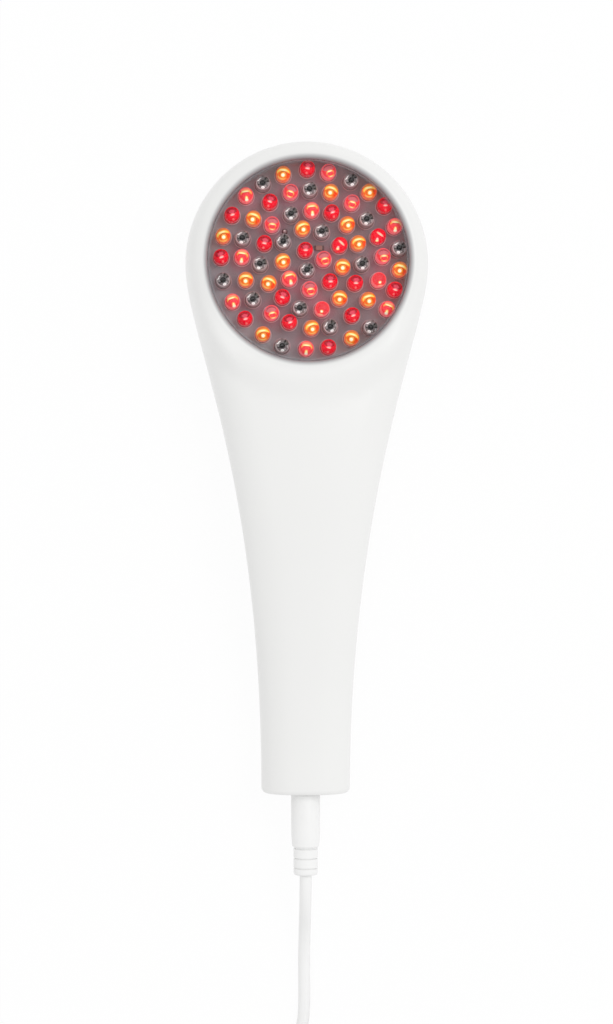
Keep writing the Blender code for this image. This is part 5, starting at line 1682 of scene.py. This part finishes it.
# Each ring's lamps, counter-clockwise from its first: D, B deep red, P, T, S light red, O orange, C clear. The
# strays are how far each one leans from its even place, in tenths of a millimetre.
LAMP_RINGS = ("DCP", "OCOTPDOBC", "TCPDCODCSODCOOD", "CPDOCTOCPDOCDOSPBCPO", "DOCTDODCTDOCTDOCTDOCTDOCP")
STRAYS = (
    ((4, -2), (8, 0), (5, 1)),
    ((4, 7), (-6, 5), (8, 7), (-1, 10), (3, 2), (5, 8), (10, -1), (9, 3), (0, 0)),
    ((5, -2), (4, -1), (-3, 5), (6, 3), (-1, 2), (6, 5), (5, 10), (0, 1), (4, -2), (0, 6), (6, 6), (7, 3), (2, 3),
     (0, 6), (4, 5)),
    ((-1, 0), (7, 3), (3, 4), (-1, -1), (-4, -2), (5, 8), (6, 4), (-3, 4), (7, 10), (2, 13), (4, 5), (-6, -2),
     (3, 3), (5, 3), (7, 4), (10, 12), (6, 6), (0, -3), (3, 2), (-3, 4)),
    ((9, 5), (2, 0), (2, 0), (3, 8), (1, 4), (-1, 3), (1, 7), (-1, 4), (2, 3), (0, 7), (2, 3), (-1, -4), (5, 1),
     (5, 2), (11, 9), (11, 4), (16, 12), (5, 11), (3, 5), (0, 1), (5, 3), (7, 6), (6, -3), (8, -7), (5, -1)),
)


class WAND_OT_lamps(bpy.types.Operator):
    """Set the rings of lamps on their round board, with its two small parts"""
    bl_idname = "wand.lamps"
    bl_label = "Lamps and their board"

    def execute(self, context):
        settings = context.scene.wand_lamps
        places = lamp_places(settings)
        growth = lamp_growth()
        for kind, (name, body, rim, foot, marks) in lamp_marks(settings).items():
            epoxy = lamp_epoxy(name, settings.radius, body, rim, foot, marks)
            mesh = growth.grown(
                [at for at, _ in places[kind]], [tilt for _, tilt in places[kind]], epoxy,
                radius=settings.radius, flange_radius=settings.flange_radius
            )
            piece(f"lamps_{name}", mesh, epoxy, "wand", ("led_board",), None)
        silver = stock("silver_frame", bright_metal, (0.76, 0.75, 0.73), 0.28)
        ats = [(x, y, z + GAP / 2) for (x, y, z), _ in places["C"]]
        frames = frame_growth().grown(ats, [tilt for _, tilt in places["C"]], silver)
        piece("lamp_frames", frames, silver, "wand", ("led_board",), 40)
        glowing = [at for kind, found in places.items() if kind in "PST" for at, _ in found]
        lacquer = stock("lamp_board_lacquer", solder_mask, settings.board, BOARD_RIM_SHADE, "glow")
        disc = glowing_disc(glowing, settings.flange_radius)
        piece("lamp_disc", disc, lacquer, "wand", ("led_board",))
        length, _, height = RESISTOR_SIZE
        chip_x, chip_y = BOARD_X + RESISTOR_AT[0], BOARD_Y + RESISTOR_AT[1]
        chip = block(RESISTOR_SIZE, (chip_x, chip_y, BOARD_TOP + GAP + height / 2), RESISTOR_EDGE)
        brown = stock("chip_brown", chip_ceramic, (0.34, 0.23, 0.19), chip_x, length / 2)
        piece("chip_resistor", chip, brown, "wand", ("board_resistor",))
        at = Vector((
            BOARD_X + SENSOR_CIRCLE * math.cos(SENSOR_ANGLE), BOARD_Y + SENSOR_CIRCLE * math.sin(SENSOR_ANGLE),
            BOARD_TOP + GAP
        ))
        bead = turned([
            *((SENSOR_RADIUS * math.sin(a), SENSOR_HEIGHT * math.cos(a)) for a in quarter(8)), (0, 0)
        ], at, sides=BEAD_SIDES)
        piece("sensor_bead", bead, stock("glass_of_bead", bead_glass, at, SENSOR_RADIUS), "wand",
              ("thermistor",))
        return {"FINISHED"}


def lamp_places(settings):
    """Each kind's lamps: where each one stands and how far it is turned."""
    outer_rings = range(len(LAMP_RINGS) - 1)
    radii = [settings.first_ring, *(settings.second_ring + settings.ring_pitch * ring for ring in outer_rings)]
    places = {}
    for number, (radius, phase, kinds) in enumerate(zip(radii, LED_RING_PHASES, LAMP_RINGS)):
        for index, (kind, stray) in enumerate(zip(kinds, STRAYS[number])):
            turn = math.radians(phase) + 2 * math.pi * index / len(kinds)
            x = BOARD_X + radius * math.cos(turn) + stray[0] * STRAY_UNIT
            y = BOARD_Y + radius * math.sin(turn) + stray[1] * STRAY_UNIT
            tilt = LAMP_TILT * math.sin(TILT_BY_LAMP * index + TILT_BY_RING * number)
            places.setdefault(kind, []).append(((x, y, BOARD_TOP), tilt))
    return places


def glowing_disc(glowing, foot_radius):
    """The round board, with how much of the light red lamps' glow falls on each point of it."""
    shape = bmesh.new()
    rings = [
        [shape.verts.new((BOARD_X + reach * math.cos(a), BOARD_Y + reach * math.sin(a), BOARD_TOP))
         for a in around(DISC_SIDES if reach else 1)]
        for reach in (BOARD_RADIUS * step / DISC_RINGS for step in range(DISC_RINGS + 1))
    ]
    rings.append([shape.verts.new(vert.co - Vector((0, 0, BOARD_THICKNESS))) for vert in rings[-1]])
    join_rings(shape, rings)
    shape.faces.new(rings[-1][::-1])
    bmesh.ops.recalc_face_normals(shape, faces=shape.faces)
    mesh = mesh_of(shape, "lamp_disc")
    glow = []
    for vert in mesh.vertices:
        nearest = [max(math.hypot(vert.co.x - x, vert.co.y - y) - foot_radius, 0.0) for x, y, _ in glowing]
        glow.append(min(GLOW_SHARE * sum(math.exp(-((near / GLOW_REACH) ** 2)) for near in nearest), GLOW_LIMIT))
    mesh.attributes.new("glow", "FLOAT", "POINT").data.foreach_set("value", glow)
    return mesh


class WAND_OT_screws(bpy.types.Operator):
    """Drive the housing's four screws and the control board's two"""
    bl_idname = "wand.screws"
    bl_label = "Screws"

    def execute(self, context):
        steel = stock("zinc_steel", bright_metal, (0.62, 0.62, 0.63), 0.30)
        ats = [(x, y, screw_seat(y) - GAP) for x, y in HOUSING_SCREWS]
        mesh = screw_growth().grown(ats, [0.4, 1.1, 0.2, 0.8], steel, length=HOUSING_SCREW_LENGTH)
        names = [f"housing_screw_{number}" for number in range(1, 5)]
        piece("housing_screws", mesh, steel, "wand", names, 40)
        refinish(steel, "control_screw_1", "control_screw_2")
        return {"FINISHED"}


class WAND_OT_electronics(bpy.types.Operator):
    """Finish the control board, its parts, the jack, the switch and the wires"""
    bl_idname = "wand.electronics"
    bl_label = "Boards, jack and wires"

    def execute(self, context):
        black = stock("black_polymer", grained_plastic, BLACK)
        nylon = stock("natural_nylon", grained_plastic, (0.70, 0.68, 0.60), 0.45, 900.0)
        red_vinyl = stock("red_insulation", soft_vinyl, (0.50, 0.02, 0.015), 0.4)
        black_vinyl = stock("black_insulation", soft_vinyl, (0.02, 0.02, 0.02), 0.4)
        refinish(nylon, "led_connector", "control_connector")
        refinish(stock("green_lacquer", solder_mask, (0.02, 0.13, 0.05)), "control_board")
        refinish(black, "driver_chip", "buzzer", "tact_switch", "switch_plunger", "dc_jack")
        refinish(stock("wound_copper", wound_copper), "choke")
        refinish(stock("can_aluminium", bright_metal, (0.70, 0.70, 0.72), 0.32), "capacitor")
        refinish(stock("nickel_plate", bright_metal, *NICKEL), "jack_pin")
        refinish(red_vinyl, "lamp_wire_red", "jack_wire_red")
        refinish(black_vinyl, "lamp_wire_black", "jack_wire_black")
        return {"FINISHED"}


class WAND_PT_panel(bpy.types.Panel):
    """Lists the wand's operators and settings"""
    bl_idname = "WAND_PT_panel"
    bl_label = "Light therapy wand"
    bl_space_type = "VIEW_3D"
    bl_region_type = "UI"
    bl_category = "Wand"

    def draw(self, context):
        layout = self.layout
        for operator in OPERATORS:
            layout.operator(operator.bl_idname)
        for group in GROUPS:
            settings = getattr(context.scene, group)
            for name in settings.bl_rna.properties.keys():
                if name not in ("rna_type", "name"):
                    layout.prop(settings, name)


GROUPS = {
    "wand_housing": HousingSettings,
    "wand_lamps": LampSettings,
    "wand_lead": LeadSettings,
    "wand_stage": StageSettings,
}
OPERATORS = (
    WAND_OT_stage, WAND_OT_lead, WAND_OT_housing, WAND_OT_window, WAND_OT_lamps, WAND_OT_screws,
    WAND_OT_electronics,
)


def register():
    for cls in (*GROUPS.values(), *OPERATORS, WAND_PT_panel):
        bpy.utils.register_class(cls)
    for name, group in GROUPS.items():
        setattr(bpy.types.Scene, name, PointerProperty(type=group))


def unregister():
    for name in GROUPS:
        delattr(bpy.types.Scene, name)
    for cls in reversed((*GROUPS.values(), *OPERATORS, WAND_PT_panel)):
        bpy.utils.unregister_class(cls)


def main():
    register()
    for operator in OPERATORS:
        area, name = operator.bl_idname.split(".")
        getattr(getattr(bpy.ops, area), name)()


if __name__ == "__main__":
    main()
